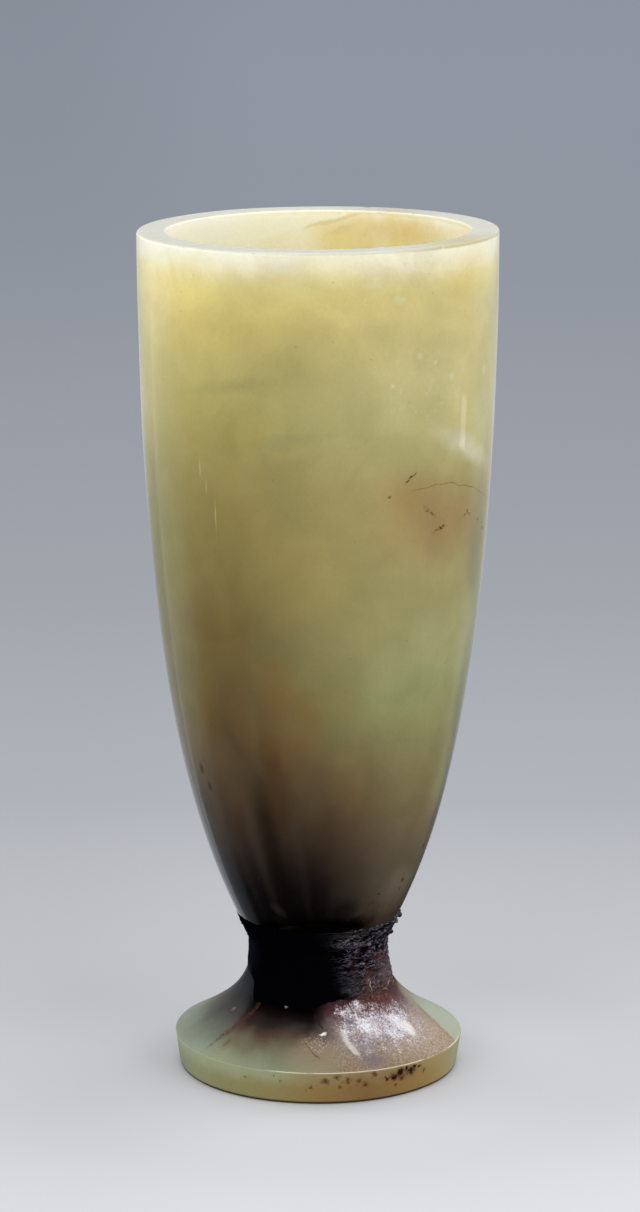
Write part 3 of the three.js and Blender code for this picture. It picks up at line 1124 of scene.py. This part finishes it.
# %% Finish of the foot's top
def foot_film(n, place):
    """The silvery film: how far it covers the stone, and its colour, pale and lilac partly as painted sheen,
    with dark specks.
    """
    torn = n.around(1.2, 1.6)
    fine = n.noise(n.place, 0.26, 2.0, 0.6)
    broad = n.noise(n.place, 1.6, 5.0, 0.65)
    colour = n.ramp(n.sloped(broad, 0.45, n.times(fine, 0.55)), 0.3, 0.7, film_tones)
    brown = n.remap(n.noise(n.place, 1.3, 4.0, 0.65), 0.55, 0.66)
    colour = n.veil(colour, brown, 0.5, "9a7656")
    flake = n.remap(n.noise(n.place, 0.8, 5.0, 0.75), 0.55, 0.62)
    colour = n.veil(colour, flake, 0.7, "4a404a")

    higher = n.times(n.between(torn["Angle"], 6, 14, 28, 40), 0.9)
    higher = n.sloped(n.between(torn["Angle"], 42, 52, 75, 85), -0.8, higher)
    top = n.remap(n.minus(torn["Height"], higher), 12.0, 9.3)
    low = n.remap(place["Height"], 5.0, 8.6)
    spread = n.times(top, low, n.between(torn["Angle"], 7, 24, 54, 76))
    uneven = n.sloped(broad, 1.1, n.times(fine, 0.6))
    cover = n.sloped(n.minus(uneven, 0.85), 2.2, n.times(spread, 0.82))
    return n.times(n.remap(cover, 0.15, 0.8), n.remap(spread, 0.0, 0.2)), colour


def foot_stain_and_shade(n, soft, torn):
    """Green, brown and tan stone by angle and height, with the rust below the crust, and painted shade and
    light.
    """
    height = soft["Height"]
    brown = n.round_curve(soft["Angle"], brown_share)
    tan = n.round_curve(soft["Angle"], tan_share)
    colour = n.mix(brown, n.ramp(height, 4, 18, green_stops), n.ramp(height, 4, 18, brown_stops))
    colour = n.mix(tan, colour, n.ramp(torn["Height"], 4, 18, tan_stops))
    speckle = n.remap(n.noise(n.place, 0.6, 4.0, 0.7), 0.45, 0.62)
    orange = n.remap(n.noise(n.place, 0.7, 4.0, 0.7), 0.55, 0.64)
    for dots, shape, strength, tint in (
        (speckle, (40, 10.8, 38, 1.7, 0, 0.4), 0.6, "5e2e22"),
        (orange, (42, 10.9, 34, 1.5, 0, 0.4), 0.75, "96522c"),
        (speckle, (68, 7.0, 20, 3.5, 0, 0.3), 0.5, "a08072"),
    ):
        colour = n.veil(colour, n.times(dots, n.patch(torn, *shape)), strength, tint)
    colour = n.veil(colour, n.patch(soft, 60, 6.4, 34, 3.2, core=0.3), 0.6, "b4a090")
    grain = n.remap(n.noise(n.place, 0.3, 3.0, 0.7), 0.35, 0.65)
    colour = n.mix(tan, colour, n.shaded(grain, colour, 0.72, 1.25))
    # The last of these veils, dark below the neck on the left, is partly painted shade.
    colour = n.veils(
        colour,
        (torn, (-2, 6.2, 17, 2.6, 0, 0.3), 0.6, "97856c"),
        (torn, (24, 5.7, 10, 1.5), 0.8, "78686f"),
        (soft, (-39, 7.4, 8, 1.6), 0.55, "706e5a"),
        (soft, (-50, 12.8, 16, 3.4, 0, 0.2), 0.9, "08080a"),
    )
    # A lighter copy of the colour, low on the left of the top, is painted light.
    colour = n.mix(n.patch(soft, -46, 5.2, 26, 1.8), colour, n.scaled(colour, 1.22))
    return n.veil(colour, n.patch(soft, 95, 8.2, 22, 4.5, core=0.4), 0.8, "8f8a74")


def foot_film_and_sheen(n, colour, torn):
    """The film's paler fields, which are painted sheen, its dark specks and tan spots."""
    # The paler fields are painted sheen, broken up by the sparkle noise.
    sparkle = n.remap(n.noise(n.place, 0.35, 4.0, 0.75), 0.36, 0.54)
    for *mark, strength in ((28, 9.0, 12, 1.7, 0.95), (49, 8.4, 13, 2.0, 0.75)):
        colour = n.veil(colour, n.times(n.patch(torn, *mark), sparkle), strength, "fbf8fb")
    colour = n.veils(
        colour,
        (torn, (14, 7.6, 5, 1.3), 0.4, "7a6c78"),
        (torn, (23, 7.0, 7, 1.7, 0, 0.2), 0.6, "7a6c78"),
        (torn, (20.5, 9.7, 4.5, 0.7, 0, 0.3), 0.55, "575060"),
    )
    specks = n.remap(n.noise(n.place, 0.45, 4.0, 0.75), 0.52, 0.6)
    colour = n.veil(colour, n.times(specks, n.patch(torn, 18, 8.2, 14, 2.6, core=0.3)), 0.6, "4e4450")
    colour = n.veil(colour, n.times(specks, n.patch(torn, 36, 10.5, 32, 1.8, core=0.3)), 0.75, "663a30")
    return n.veil(colour, n.patch(torn, 22, 8.2, 3.5, 0.8), 0.6, "a87a50")


def foot_top(n, film, film_colour):
    soft = n.around(5.0, 1.8)
    torn = n.around(1.2, 1.4)
    ragged = n.around(0.8, 0.6)
    colour = n.mix(film, foot_stain_and_shade(n, soft, torn), foot_film_and_sheen(n, film_colour, torn))
    colour = n.veil(colour, n.patch(torn, 5, 8.4, 8, 1.5), 0.5, "44342f")

    border = n.sloped(n.minus(ragged["Height"], 4.8), 4.0, 71.0)
    beyond = n.remap(n.minus(torn["Angle"], border), 0.0, 4.0)
    mint = n.times(n.remap(torn["Angle"], 150, 115), n.remap(soft["Height"], 10, 7))
    colour = n.veil(colour, n.times(beyond, mint), 0.85, "a5af9c")
    colour = n.veil(colour, n.line(torn, (71, 4.6), (85, 8.4), width=0.6), 0.45, "94604c")

    dotted = n.remap(n.noise(n.place, 0.5, 4.0, 0.7), 0.4, 0.56, 0.25, 1.0)
    for mask, strength, tint in (
        (n.line(ragged, (-55, 5.9), (-43.5, 11.4), width=1.5), 0.85, "4e2c22"),
        (n.patch(torn, -47, 6.5, 2.5, 0.7), 0.7, "6a4830"),
        (n.patch(torn, -27, 7.9, 12, 1.0), 0.6, "4a2e20"),
    ):
        colour = n.veil(colour, n.times(mask, dotted), strength, tint)
    colour = n.veil(colour, n.line(ragged, (-6.8, 7.7), (0.8, 6.0), width=0.22), 0.7, "6e4232")
    colour = n.veil(colour, n.line(ragged, (-2.5, 10.5), (3.5, 8.9), width=0.3), 0.8, "241a1c")
    curls = n.remap(n.apart(n.noise(n.place, 0.45, 2.0), 0.5), 0.035, 0.01)
    curls = n.times(curls, n.patch(torn, -1, 7.5, 10, 1.1, core=0.4), dotted)
    colour = n.veil(colour, curls, 0.6, "d4c8c2")
    colour = n.veils(
        colour,
        (ragged, (-22.5, 11.4, 1.9, 0.38, 0, 0.4), 0.7, "9c8682"),
        (ragged, (-64, 9.4, 2.0, 0.4, 0, 0.4), 0.35, "9c8682"),
    )
    # Near-white painted glints on the foot's top.
    for *mark, lean, strength in painted_glints:
        colour = n.veil(colour, n.patch(ragged, *mark, lean=lean, core=0.3), strength, "f6f1ea")
    return colour


print("glints on the foot's top:", len(painted_glints))


# %% Finish of the foot
def foot_finish():
    n = Finish("polished_foot_stone")
    place = n.around()
    mottle = n.group(mottle_group, cloud_size=stone_cloud_size)
    zone = n.own("zone")
    film, film_colour = foot_film(n, place)
    colour = n.mix(n.remap(zone, 1.5, 2.5), foot_side(n, place), foot_top(n, film, film_colour))
    edge = n.remap(n.apart(zone, float(EDGE)), 0.9, 0.3)
    # A painted highlight runs along the top edge on the front and right, broken up by the wear noise.
    worn = n.times(n.between(place["Angle"], -24, -16, 78, 88), n.remap(mottle["Wear"], 0.36, 0.5))
    colour = n.veil(colour, n.times(edge, worn), 0.85, "e6dcc0")
    # The edge on the left and at the back is painted darker, as painted shade.
    painted_edge_shade = n.times(edge, n.between(place["Angle"], -175, -140, -24, -16))
    colour = n.veil(colour, painted_edge_shade, 0.4, "6e7664")
    black = n.times(n.remap(place["Height"], 8.5, 11.0), n.between(place["Angle"], -62, -50, 20, 50))
    gloss = n.sloped(black, -0.22, 0.22)
    n.bumped(n.times(film, n.noise(n.place, 0.6, 5.0, 0.65)), 0.6, 0.15)
    return n.finished(
        base_color=n.grained(colour, n.sloped(mottle["Grain"], 0.2, 0.9)),
        roughness=n.sloped(mottle["Wear"], 0.2, 0.12),
        coat_weight=n.math("MAXIMUM", n.times(film, 0.5), gloss),
        coat_roughness=0.2,
        specular_ior_level=0.0,
        subsurface_weight=0.2,
        subsurface_radius=(1.0, 0.9, 0.6),
        subsurface_scale=1.0 * MM,
    )


foot_stone = foot_finish()

# %% [markdown]
# ## Lacquer
# Raw lacquer dries black and smooth where it lay thick, and wrinkled and brown where dirt and fibres
# dried into it. One finish serves the coat and the bead. The wrinkles are real geometry, made below, and
# the mesh carries their height as `ridge`, so their crests can be painted paler than the grooves, as
# painted highlight and shade. A grey-blue painted sheen lies on the left of the neck.

# %% Finish of the lacquer and the fibres in it
fold_tones = [(0, "030305"), (0.15, "17151c"), (0.5, "433e4a"), (1, "8e8694")]
straw_tones = [(0.36, "5a4030"), (0.5, "94744e"), (0.64, "cdb084")]


def lacquer_finish():
    n = Finish("dried_lacquer")
    place = n.around()
    torn = n.around(1.2, 2.0)
    wavy = n.around(2.5, 3.0)
    flat = n.vector("MULTIPLY", n.place, (1, 1, 3.5))
    turned = n.sloped(n.minus(wavy["Height"], 18.0), 2.0, wavy["Angle"])
    crust = n.times(n.between(turned, 2, 34, 130, 175), n.remap(wavy["Angle"], 168, 135))
    fold = n.remap(n.apart(n.noise(flat, 1.5, 3.0, 0.6, 0.5), 0.5), 0.06, 0.0)
    kept = n.remap(n.noise(flat, 3.0, 2.0), 0.42, 0.6)
    fold = n.math("MAXIMUM", n.times(fold, kept), n.own("ridge"))
    level = n.times(fold, crust)
    # The crests are painted paler and the grooves darker, as painted highlight and shade.
    colour = n.ramp(level, 0, 1, fold_tones)

    earth = n.remap(n.noise(n.place, 1.6, 4.0, 0.6), 0.48, 0.6)
    lower = n.times(n.between(place["Angle"], 22, 48, 115, 160), n.remap(place["Height"], 20, 17))
    colour = n.veil(colour, n.times(earth, lower), 0.6, "50302a")
    # Paler purplish grey low on the right of the neck.
    paler_low_right = n.times(n.remap(place["Height"], 18, 15), n.between(place["Angle"], 46, 78, 100, 150))
    colour = n.veil(colour, paler_low_right, 0.5, "6c585c")
    # A grey-blue painted sheen on the left of the neck, where the black lacquer shows a reflection.
    colour = n.veils(
        colour,
        (torn, (-84, 13.4, 24, 2.8), 0.8, "34373c"),
        (torn, (-76, 17.5, 26, 5), 0.8, "11151d"),
    )
    speckle = n.remap(n.noise(n.place, 0.5, 4.0, 0.7), 0.4, 0.6, 0.25, 1.0)
    maroon = n.times(n.patch(torn, 56, 11.4, 44, 2.4, core=0.2), speckle)
    colour = n.veil(colour, maroon, 0.85, "5c332c")
    orange = n.remap(n.noise(n.place, 0.7, 4.0, 0.7), 0.55, 0.64)
    orange = n.times(orange, n.patch(torn, 52, 12.6, 36, 2.6, core=0.4))
    n.bumped(level, 1.0, 0.2)
    return n.finished(
        base_color=n.veil(colour, orange, 0.75, "96522e"),
        roughness=0.5,
        coat_weight=n.times(crust, 0.6),
        coat_roughness=0.16,
        specular_ior_level=0.0,
    )


def fibre_finish():
    n = Finish("dried_fibre")
    shade = n.noise(n.place, 1.6, 3.0, 0.6)
    colour = n.ramp(shade, 0.3, 0.7, straw_tones)
    return n.finished(base_color=colour, roughness=n.sloped(shade, 0.3, 0.35), specular_ior_level=0.2)


lacquer = lacquer_finish()
fibre = fibre_finish()

# %% [markdown]
# ## Hidden pieces
# The bamboo peg and the bed of lacquer can't be seen, but the model can be taken apart. Their plain
# solids are fine enough, so they stay: the peg gets a finish of split bamboo, and the bed the lacquer's.


# %% Finish of the peg and the bed
def bamboo_finish():
    n = Finish("split_bamboo")
    grain = n.noise(n.vector("MULTIPLY", n.place, (1, 1, 0.06)), 0.35, 4.0, 0.6)
    return n.finished(base_color=n.mix(grain, "8a6a3a", "c4a468"), roughness=n.sloped(grain, 0.2, 0.55))


for node, finish in (("joint_peg", bamboo_finish()), ("lacquer_bed", lacquer)):
    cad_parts[node].data.materials.clear()
    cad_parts[node].data.materials.append(finish)

# %% [markdown]
# ## The two stones
# Each stone is its outline, turned, then wavered as a hand would leave it, and chipped along its edges.
# The points could be moved in Python too, but as trees the steps keep named sizes, can be tried in any
# order, and both stones share them.

# %% Make the beaker
rim_wear = {"edge_height": rim_height * MM, "reach": 0.9 * MM, "depth": 0.28 * MM, "chip_size": 1.6 * MM}
rim_tilt = {"tilt": 0.008, "tilt_from": 100 * MM, "tilt_to": rim_height * MM}

beaker = turned_piece("beaker_stone", beaker_outline(), segments=420, material=beaker_stone)
add_tree(beaker, hand_tree, waver=0.3 * MM, lump=28 * MM, **rim_tilt)
for edge_radius, inward, seed in ((rim_radius, -1.0, 3.0), (rim_radius - rim_wall, 1.0, 8.0)):
    add_tree(beaker, wear_tree, edge_radius=edge_radius * MM, limit=0.6, inward=inward, seed=seed, **rim_wear)
settle(beaker)

# %% Make the foot
foot_edge = {"edge_radius": foot_radius * MM, "edge_height": foot_edge_height * MM}
foot_wear = {"reach": 0.6 * MM, "depth": 0.2 * MM, "chip_size": 1.4 * MM}
foot_tilt = {"tilt": -0.008, "tilt_from": 1 * MM, "tilt_to": foot_edge_height * MM}

foot = turned_piece("foot_stone", foot_outline(), segments=360, material=foot_stone)
add_tree(foot, hand_tree, waver=0.25 * MM, lump=14 * MM, **foot_tilt)
add_tree(foot, wear_tree, limit=0.6, inward=-1.0, seed=5.0, **foot_edge, **foot_wear)
settle(foot)

# %% [markdown]
# ## Lacquer on the neck
# The coat is a ring whose outside follows the foot's flare. Its thickness is worked out point by point:
# below a wandering line, which lies higher on the left and at the back, it sinks under the stone, so its
# lower edge is ragged. On the right flank wrinkles stand up. A wrinkle is where a noise crosses its
# middle value, which gives thin winding lines.

# %% Tree for the lacquer's surface
edge_climb = [
    (-180, 2.5), (-100, 3.5), (-62, 3.0), (-50, 0.6), (-20, 0.9), (0, 0.8), (9, 1.2), (20, 1.8), (40, 1.2),
    (70, 1.6), (95, 2.0), (130, 2.4), (180, 2.5),
]
edge_lump = 4.0
gap_size = 2.0
wrinkle_squash = (1, 1, 3.2)


def make_lacquer_tree():
    edge_titles = ("Edge height", "Edge run", "Edge wander", "Sink")
    skin_titles = ("Ridge", "Ridge size", "Lump", "Lump size")
    tree, n, given, result = shape_tree("lacquer_surface", *edge_titles, *skin_titles)
    x, y, z = n.parts(n.position())
    angle = n.turn_of(x, y)
    crust = n.between(angle, 0.0, 35.0, 130.0, 178.0)

    def field(size, vector, detail, distortion=0.0):
        return n.minus(n.lumps(vector, n.over(1.0, size), detail, distortion=distortion)[0], 0.5)

    edge = n.plus(given["Edge height"], n.times(n.round_curve(angle, edge_climb, -2, 6), MM))
    level = n.minus(z, n.times(field(edge_lump * MM, n.position(), 4.0), given["Edge wander"]))
    below = n.remap(level, n.plus(edge, given["Edge run"]), edge)
    sunk = n.times(below, n.times(given["Sink"], -1.0))
    squashed = n.vector("MULTIPLY", n.position(), wrinkle_squash)
    crest = n.remap(n.math("ABSOLUTE", field(given["Ridge size"], squashed, 3.0, 0.8)), 0.07, 0.0)
    crest = n.times(crest, n.remap(field(gap_size * MM, squashed, 3.0), -0.06, 0.1), crust)
    lumps = n.times(field(given["Lump size"], n.position(), 3.0), given["Lump"])
    raised = n.times(n.sloped(crest, given["Ridge"], lumps), n.minus(1.0, below))
    push = n.scaled(n.normal(), n.times(n.plus(raised, sunk), n.mark("zone")))
    n.feed(result["Piece"], n.moved(n.marked(given["Piece"], "ridge", crest), "Offset", push))
    return tree


lacquer_tree = make_lacquer_tree()
print("nodes in the lacquer tree:", len(lacquer_tree.nodes))

# %% Make the coat on the neck
coat_thickness = 0.3
coat_start = 9.2
coat_bury = 0.6
coat_overlap = 0.6
coat_edge = {"edge_height": 8.9 * MM, "edge_run": 3.0 * MM, "edge_wander": 3.0 * MM, "sink": 0.8 * MM}
coat_skin = {"ridge": 0.16 * MM, "ridge_size": 1.6 * MM, "lump": 0.15 * MM, "lump_size": 3.0 * MM}


def coat_outline():
    top = foot_height + coat_overlap
    outer = rise(lambda h: foot_radius_at(h) + coat_thickness, coat_start, top, steps=124)
    inner = rise(lambda h: foot_radius_at(h) - coat_bury, top, coat_start, steps=8)
    ring = zoned(outer, SIDE) + zoned(inner, JOINT)
    return ring + ring[:1]


coat = turned_piece("neck_coat", coat_outline(), segments=640, material=lacquer)
add_tree(coat, lacquer_tree, **coat_edge, **coat_skin)
settle(coat)

# %% [markdown]
# ## The bead and its crumbs
# The bead squeezed out of the seam and broke up as it dried, so crumbs of it stand along its lip, most of
# them on the right. They are small round stones of lacquer, scattered over the bead by a tree, each with
# its own size and turn.

# %% Tree that scatters crumbs
crumb_roughness = 0.25
crumb_lump = 0.35
crumb_rarity = 3.0
crumb_width = 0.8
crumb_height = 0.65


def make_crumb_tree():
    sizes = ("Crumbs per square metre", "Smallest", "Largest")
    tree, n, given, result = shape_tree("bead_crumbs", *sizes, SEED, MATERIAL)
    x, y, _ = n.parts(n.position())
    crust = n.times(n.remap(n.turn_of(x, y), 10.0, 60.0, 0.35, 1.0), n.mark("zone"))
    density = n.times(crust, given["Crumbs per square metre"])
    points = n.scattered(given["Piece"], density, given["Seed"])["Points"]
    ball = n.add("GeometryNodeMeshIcoSphere", {"Radius": 1.0, "Subdivisions": 2})["Mesh"]
    chance = n.add("FunctionNodeRandomValue", {"Seed": given["Seed"]}, data_type="FLOAT")["Value"]
    spread = n.minus(given["Largest"], given["Smallest"])
    size = n.sloped(n.math("POWER", chance, crumb_rarity), spread, given["Smallest"])
    whole_turn = {"Max": (2 * math.pi,) * 3}
    turn = n.add("FunctionNodeRandomValue", whole_turn, data_type="FLOAT_VECTOR")["Value"]
    scale = n.joined(size, n.times(size, crumb_width), n.times(size, crumb_height))
    crumbs = n.copies(points, ball, turn, scale)
    rough = n.minus(n.noise(n.position(), crumb_lump), 0.5)
    push = n.scaled(n.normal(), n.times(rough, crumb_roughness * MM))
    crumbs = n.painted(n.smooth(n.moved(crumbs, "Offset", push)), given["Material"])
    both = tree.nodes.new("GeometryNodeJoinGeometry")
    n.feed(both.inputs[0], given["Piece"])
    n.feed(both.inputs[0], crumbs)
    n.feed(result["Piece"], both.outputs[0])
    return tree


crumb_tree = make_crumb_tree()
print("nodes in the crumb tree:", len(crumb_tree.nodes))

# %% Make the bead under the beaker
bead_bury = 0.2
bead_foot = 0.6
lip_reach = 0.12
lip_round = 0.2
bead_hollow = 0.1
bead_edge = {"edge_height": 5 * MM, "edge_run": 1 * MM, "edge_wander": 0.0, "sink": 0.0}
bead_skin = {"ridge": 0.15 * MM, "ridge_size": 1.0 * MM, "lump": 0.6 * MM, "lump_size": 1.5 * MM}
crumb_sizes = {"smallest": 0.1 * MM, "largest": 0.6 * MM}


def bead_outline():
    bottom = foot_height - bead_bury
    top_radius = side_radius_at(bead_top)
    lip = (top_radius + lip_reach, bead_top - lip_round)
    foot_point = (neck_radius + bead_foot, bottom)
    middle = mixed_point(lip, foot_point, 0.5)
    hollow = (middle[0] - bead_hollow, middle[1])
    outer = bezier([(neck_radius - bead_bury, bottom), foot_point], steps=4)
    outer += bezier([foot_point, hollow, lip], steps=16)
    top = bezier([lip, (top_radius, bead_top), (top_radius - lip_round, bead_top)], steps=6)
    back = [(side_radius - 2 * bead_bury, seat_turn_height), (neck_radius - bead_bury, seat_height)]
    ring = zoned(outer + top, SIDE) + zoned(back, JOINT)
    return without_doubles(ring) + ring[:1]


bead = turned_piece("seam_bead", bead_outline(), segments=420, material=lacquer)
add_tree(bead, lacquer_tree, **bead_edge, **bead_skin)
add_tree(bead, crumb_tree, crumbs_per_square_metre=700000.0, seed=7, material=lacquer, **crumb_sizes)
settle(bead)

# %% [markdown]
# ## Fibres in the crust
# Short straw-coloured fibres dried into the crust on the right. A tree scatters points over that part of
# the coat, lays a short curve at each, bends it with a noise, draws it back onto the coat with Geometry
# Proximity and gives it a thin round section that tapers to both ends.

# %% Tree that lays fibres on the coat
fibre_angles = (30.0, 46.0, 95.0, 120.0)
fibre_heights = (10.8, 11.6, 13.0, 15.5)
least_spin, most_spin = -1.2, 1.9
least_stretch, most_stretch = 0.4, 1.0
strand_points = 14
section_points = 5
curl_size = 1.3
thinnest_end = 0.25


def make_fibre_tree():
    sizes = ("Fibres per square metre", "Length", "Thickness", "Bend")
    tree, n, given, result = shape_tree("crust_fibres", *sizes, SEED, MATERIAL)
    x, y, z = n.parts(n.position())
    flank = n.between(n.turn_of(x, y), *fibre_angles)
    heights = n.between(z, *(height * MM for height in fibre_heights))
    wanted = n.times(flank, heights, n.math("FLOOR", n.mark("zone")))
    density = n.times(wanted, given["Fibres per square metre"])
    points = n.scattered(given["Piece"], density, given["Seed"])

    ends = {"Start": (-0.5, 0, 0), "End": (0.5, 0, 0)}
    straight = n.add("GeometryNodeCurvePrimitiveLine", ends)[0]
    strand = n.add("GeometryNodeResampleCurve", {"Curve": straight, "Count": strand_points})[0]
    spins = {2: least_spin, 3: most_spin}
    spin = n.add("FunctionNodeRandomValue", spins, data_type="FLOAT")[1]
    own_spin = n.add("FunctionNodeAxisAngleToRotation", {"Axis": (0, 0, 1), "Angle": spin})[0]
    turn = n.add("FunctionNodeRotateRotation", [points["Rotation"], own_spin], rotation_space="LOCAL")[0]
    stretches = {2: least_stretch, 3: most_stretch, "Seed": 3}
    stretch = n.add("FunctionNodeRandomValue", stretches, data_type="FLOAT")[1]
    length = n.times(stretch, given["Length"])
    strands = n.copies(points["Points"], strand, turn, n.joined(length, length, length))

    bend = n.lumps(n.position(), 1 / (curl_size * MM))["Color"]
    curl = n.scaled(n.vector("SUBTRACT", bend, (0.5, 0.5, 0.5)), given["Bend"])
    strands = n.moved(strands, "Offset", curl)
    nearest = n.add("GeometryNodeProximity", [given["Piece"]], target_element="FACES")["Position"]
    strands = n.moved(strands, "Position", nearest)
    along = n.add("GeometryNodeSplineParameter")["Factor"]
    taper = n.math("SQRT", n.times(along, n.minus(1.0, along), 4.0))
    width = {"Curve": strands, "Radius": n.math("MAXIMUM", taper, thinnest_end)}
    strands = n.add("GeometryNodeSetCurveRadius", width)[0]
    circle = {"Resolution": section_points, "Radius": n.times(given["Thickness"], 0.5)}
    section = n.add("GeometryNodeCurvePrimitiveCircle", circle)[0]
    skin = {"Curve": strands, "Profile Curve": section, "Fill Caps": True}
    tube = n.add("GeometryNodeCurveToMesh", skin)[0]
    n.feed(result["Piece"], n.painted(tube, given["Material"]))
    return tree


fibre_tree = make_fibre_tree()
print("nodes in the fibre tree:", len(fibre_tree.nodes))

# %% Make the fibres
fibre_sizes = {"length": 2.0 * MM, "thickness": 0.13 * MM, "bend": 1.6 * MM}

fibres = placed("crust_fibres", coat.data.copy())
add_tree(fibres, fibre_tree, fibres_per_square_metre=420000.0, seed=4, material=fibre, **fibre_sizes)
settle(fibres)

# %% [markdown]
# ## Riding on the frame
# Each fine piece rides on the one rigid body and stands for its plain solid. The fibres stand for none.

# %% Tie the pieces to the frame
for piece, node, slot in (
    (beaker, "beaker", "beaker_stone"),
    (foot, "foot", "foot_stone"),
    (coat, "neck_lacquer", "lacquer"),
    (bead, "lacquer_bead", "lacquer"),
):
    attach(piece, "root")
    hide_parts(node)
    print(piece.name, "stands for", node)
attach(fibres, "root")

# %% [markdown]
# ## Studio
# The floor is a pale sheet that darkens slowly towards the back, as under a lamp in front. Its colour
# runs along the view, so the far floor is the backdrop too. Dark cloths round a real table keep a
# polished stone from mirroring the room, and here the floor and the surroundings are dimmer to glossy
# rays for the same reason. To both sides behind the cup the floor stays bright in the mirror, which
# draws the pale bands along the cup's flanks.

# %% Floor tones, by depth in metres and by angle
floor_size = 8.0
floor_front = -0.3
floor_back = 2.1
floor_stops = [
    (-0.30, "cbccce"), (-0.05, "c5c5c8"), (0.027, "b0b0b3"), (0.14, "999ba0"), (0.304, "909398"),
    (0.558, "93969e"), (1.01, "9399a2"), (2.10, "999ea8"),
]
far_tone = "999ea8"
mirror_tone = "a9adb3"
mirror_gain = [(-180, 0.5), (-150, 0.9), (-110, 0.6), (-92, 0), (100, 0), (140, 0.3), (180, 0.5)]
mirrored_floor = [
    (-180, 0.8), (-134, 0.8), (-131, 1.3), (-126, 1.1), (-101, 0.9), (-87, 0.15), (108, 0.15), (132, 0.95),
    (180, 0.9),
]
mirrored_near = [
    (-180, 0.75), (-166, 1.45), (-140, 1.5), (-122, 0.55), (-95, 0.5), (-60, 0.6), (0, 0.3), (60, 0.12),
    (166, 0.14), (180, 0.75),
]
middle_lift = [
    (-0.3, 0.04), (0.03, 0.055), (0.08, 0.05), (0.2, 0.02), (0.42, 0), (0.75, 0.03), (1.4, 0.09),
    (2.1, 0.09),
]
shadow_lift = [(-180, 0.1), (-90, 0.05), (-40, 0.12), (0, 0.2), (60, 0.14), (90, 0.14), (180, 0.1)]
print("floor tones:", len(floor_stops))


# %% Floor
def floor_finish():
    n = Finish("studio_floor")
    across, depth, _ = n.parts(n.place)
    flat = n.joined(across, depth, 0.0)
    away = n.add("ShaderNodeVectorMath", [flat], operation="LENGTH")["Value"]
    turn = n.turn_of(across, depth)
    colour = n.ramp(depth, floor_front, floor_back, floor_stops)
    colour = n.mix(n.remap(away, 0.6, 2.0), colour, far_tone)
    nearest = n.round_curve(turn, mirrored_near, 0, 2)
    share = n.times(n.round_curve(turn, mirrored_floor, 0, 2), n.remap(away, 0.05, 0.2, nearest, 1.0))
    gain = n.times(n.round_curve(turn, mirror_gain), n.remap(away, 0.3, 0.55))
    mirrored = n.mix(1.0, mirror_tone, n.times(share, n.plus(gain, 1.0)), "MULTIPLY")
    from_camera = n.math("MAXIMUM", n.minus(depth, camera_place[1]), 0.4)
    lift = n.curve(depth, floor_front, floor_back, 0, 1, middle_lift)
    lit = n.times(n.remap(n.over(across, from_camera), -0.07, -0.01), lift)
    near = n.times(n.round_curve(turn, shadow_lift), n.remap(away, 0.05, 0.021))
    colour = n.scaled(colour, n.plus(n.plus(lit, near), 1.0))
    glossy = n.add("ShaderNodeLightPath")["Is Glossy Ray"]
    colour = n.mix(glossy, colour, mirrored)
    return n.finished(base_color=colour, roughness=0.9, specular_ior_level=0.0)


half = floor_size / 2
corners = [(-half, -half, 0), (half, -half, 0), (half, half, 0), (-half, half, 0)]
floor_mesh = bpy.data.meshes.new("studio_floor")
floor_mesh.from_pydata(corners, [], [(0, 1, 2, 3)])
floor_mesh.materials.append(floor_finish())
studio_floor = placed("studio_floor", floor_mesh)

# %% World
world_strength = 0.8
mirrored_room = 0.65
world_tint = (0.96, 0.98, 1.0, 1.0)
world = bpy.data.worlds.new("studio")
bpy.context.scene.world = world
world.use_nodes = True
sky = Patterns(world.node_tree)
background = world.node_tree.nodes["Background"].inputs
path = sky.add("ShaderNodeLightPath")
dimmed = sky.remap(path["Is Glossy Ray"], 0.0, 1.0, world_strength, mirrored_room)
sky.feed(background["Color"], sky.mix(path["Is Camera Ray"], world_tint, "8a8f98"))
sky.feed(background["Strength"], sky.math("MAXIMUM", dimmed, path["Is Camera Ray"]))
print("world strength:", world_strength)

# %% [markdown]
# ## Lamps
# Two soft boxes stand at the sides, a little behind the cup, and light its edges. Two larger ones stand
# in front, and one hangs above the rim. A small strip on the right draws the short bright line on the
# beaker's upper flank: the view looks down, so a mirror image lies above the lamp's own height.


# %% Lamps
def soft_box(name, width, height, energy):
    lamp = bpy.data.lights.new(name, "AREA")
    lamp.shape = "RECTANGLE"
    lamp.size = width
    lamp.size_y = height
    lamp.energy = energy
    item = placed(name, lamp)
    item.visible_camera = False
    return item


def panel(name, angle, distance, low, high, width, brightness, mirrored=True):
    """An upright soft box that faces the cup. Its brightness is the radiance that the cup sees."""
    item = soft_box(name, width, high - low, brightness * math.pi * width * (high - low))
    turn = math.radians(angle)
    item.location = (distance * math.sin(turn), -distance * math.cos(turn), (low + high) / 2)
    item.rotation_euler = (math.pi / 2, 0, turn)
    item.visible_glossy = mirrored


panel("left_box", -113, 0.42, 0.05, 0.5, 0.26, 1.15, mirrored=False)
panel("right_box", 120, 0.42, 0.05, 0.5, 0.25, 1.25, mirrored=False)
panel("right_strip", 104, 0.205, 0.0455, 0.060, 0.020, 2.4)
panel("left_front_box", -35, 1.1, 0.35, 1.1, 0.8, 1.7)
panel("right_front_box", 48, 1.1, 0.35, 1.1, 0.8, 1.65)
top_box = soft_box("top_box", 0.5, 0.5, 2.4)
top_box.location = (0.0, 0.1, 0.8)
bpy.context.scene.view_settings.view_transform = "Standard"
print("lamps:", sorted(lamp.name for lamp in bpy.data.lights))
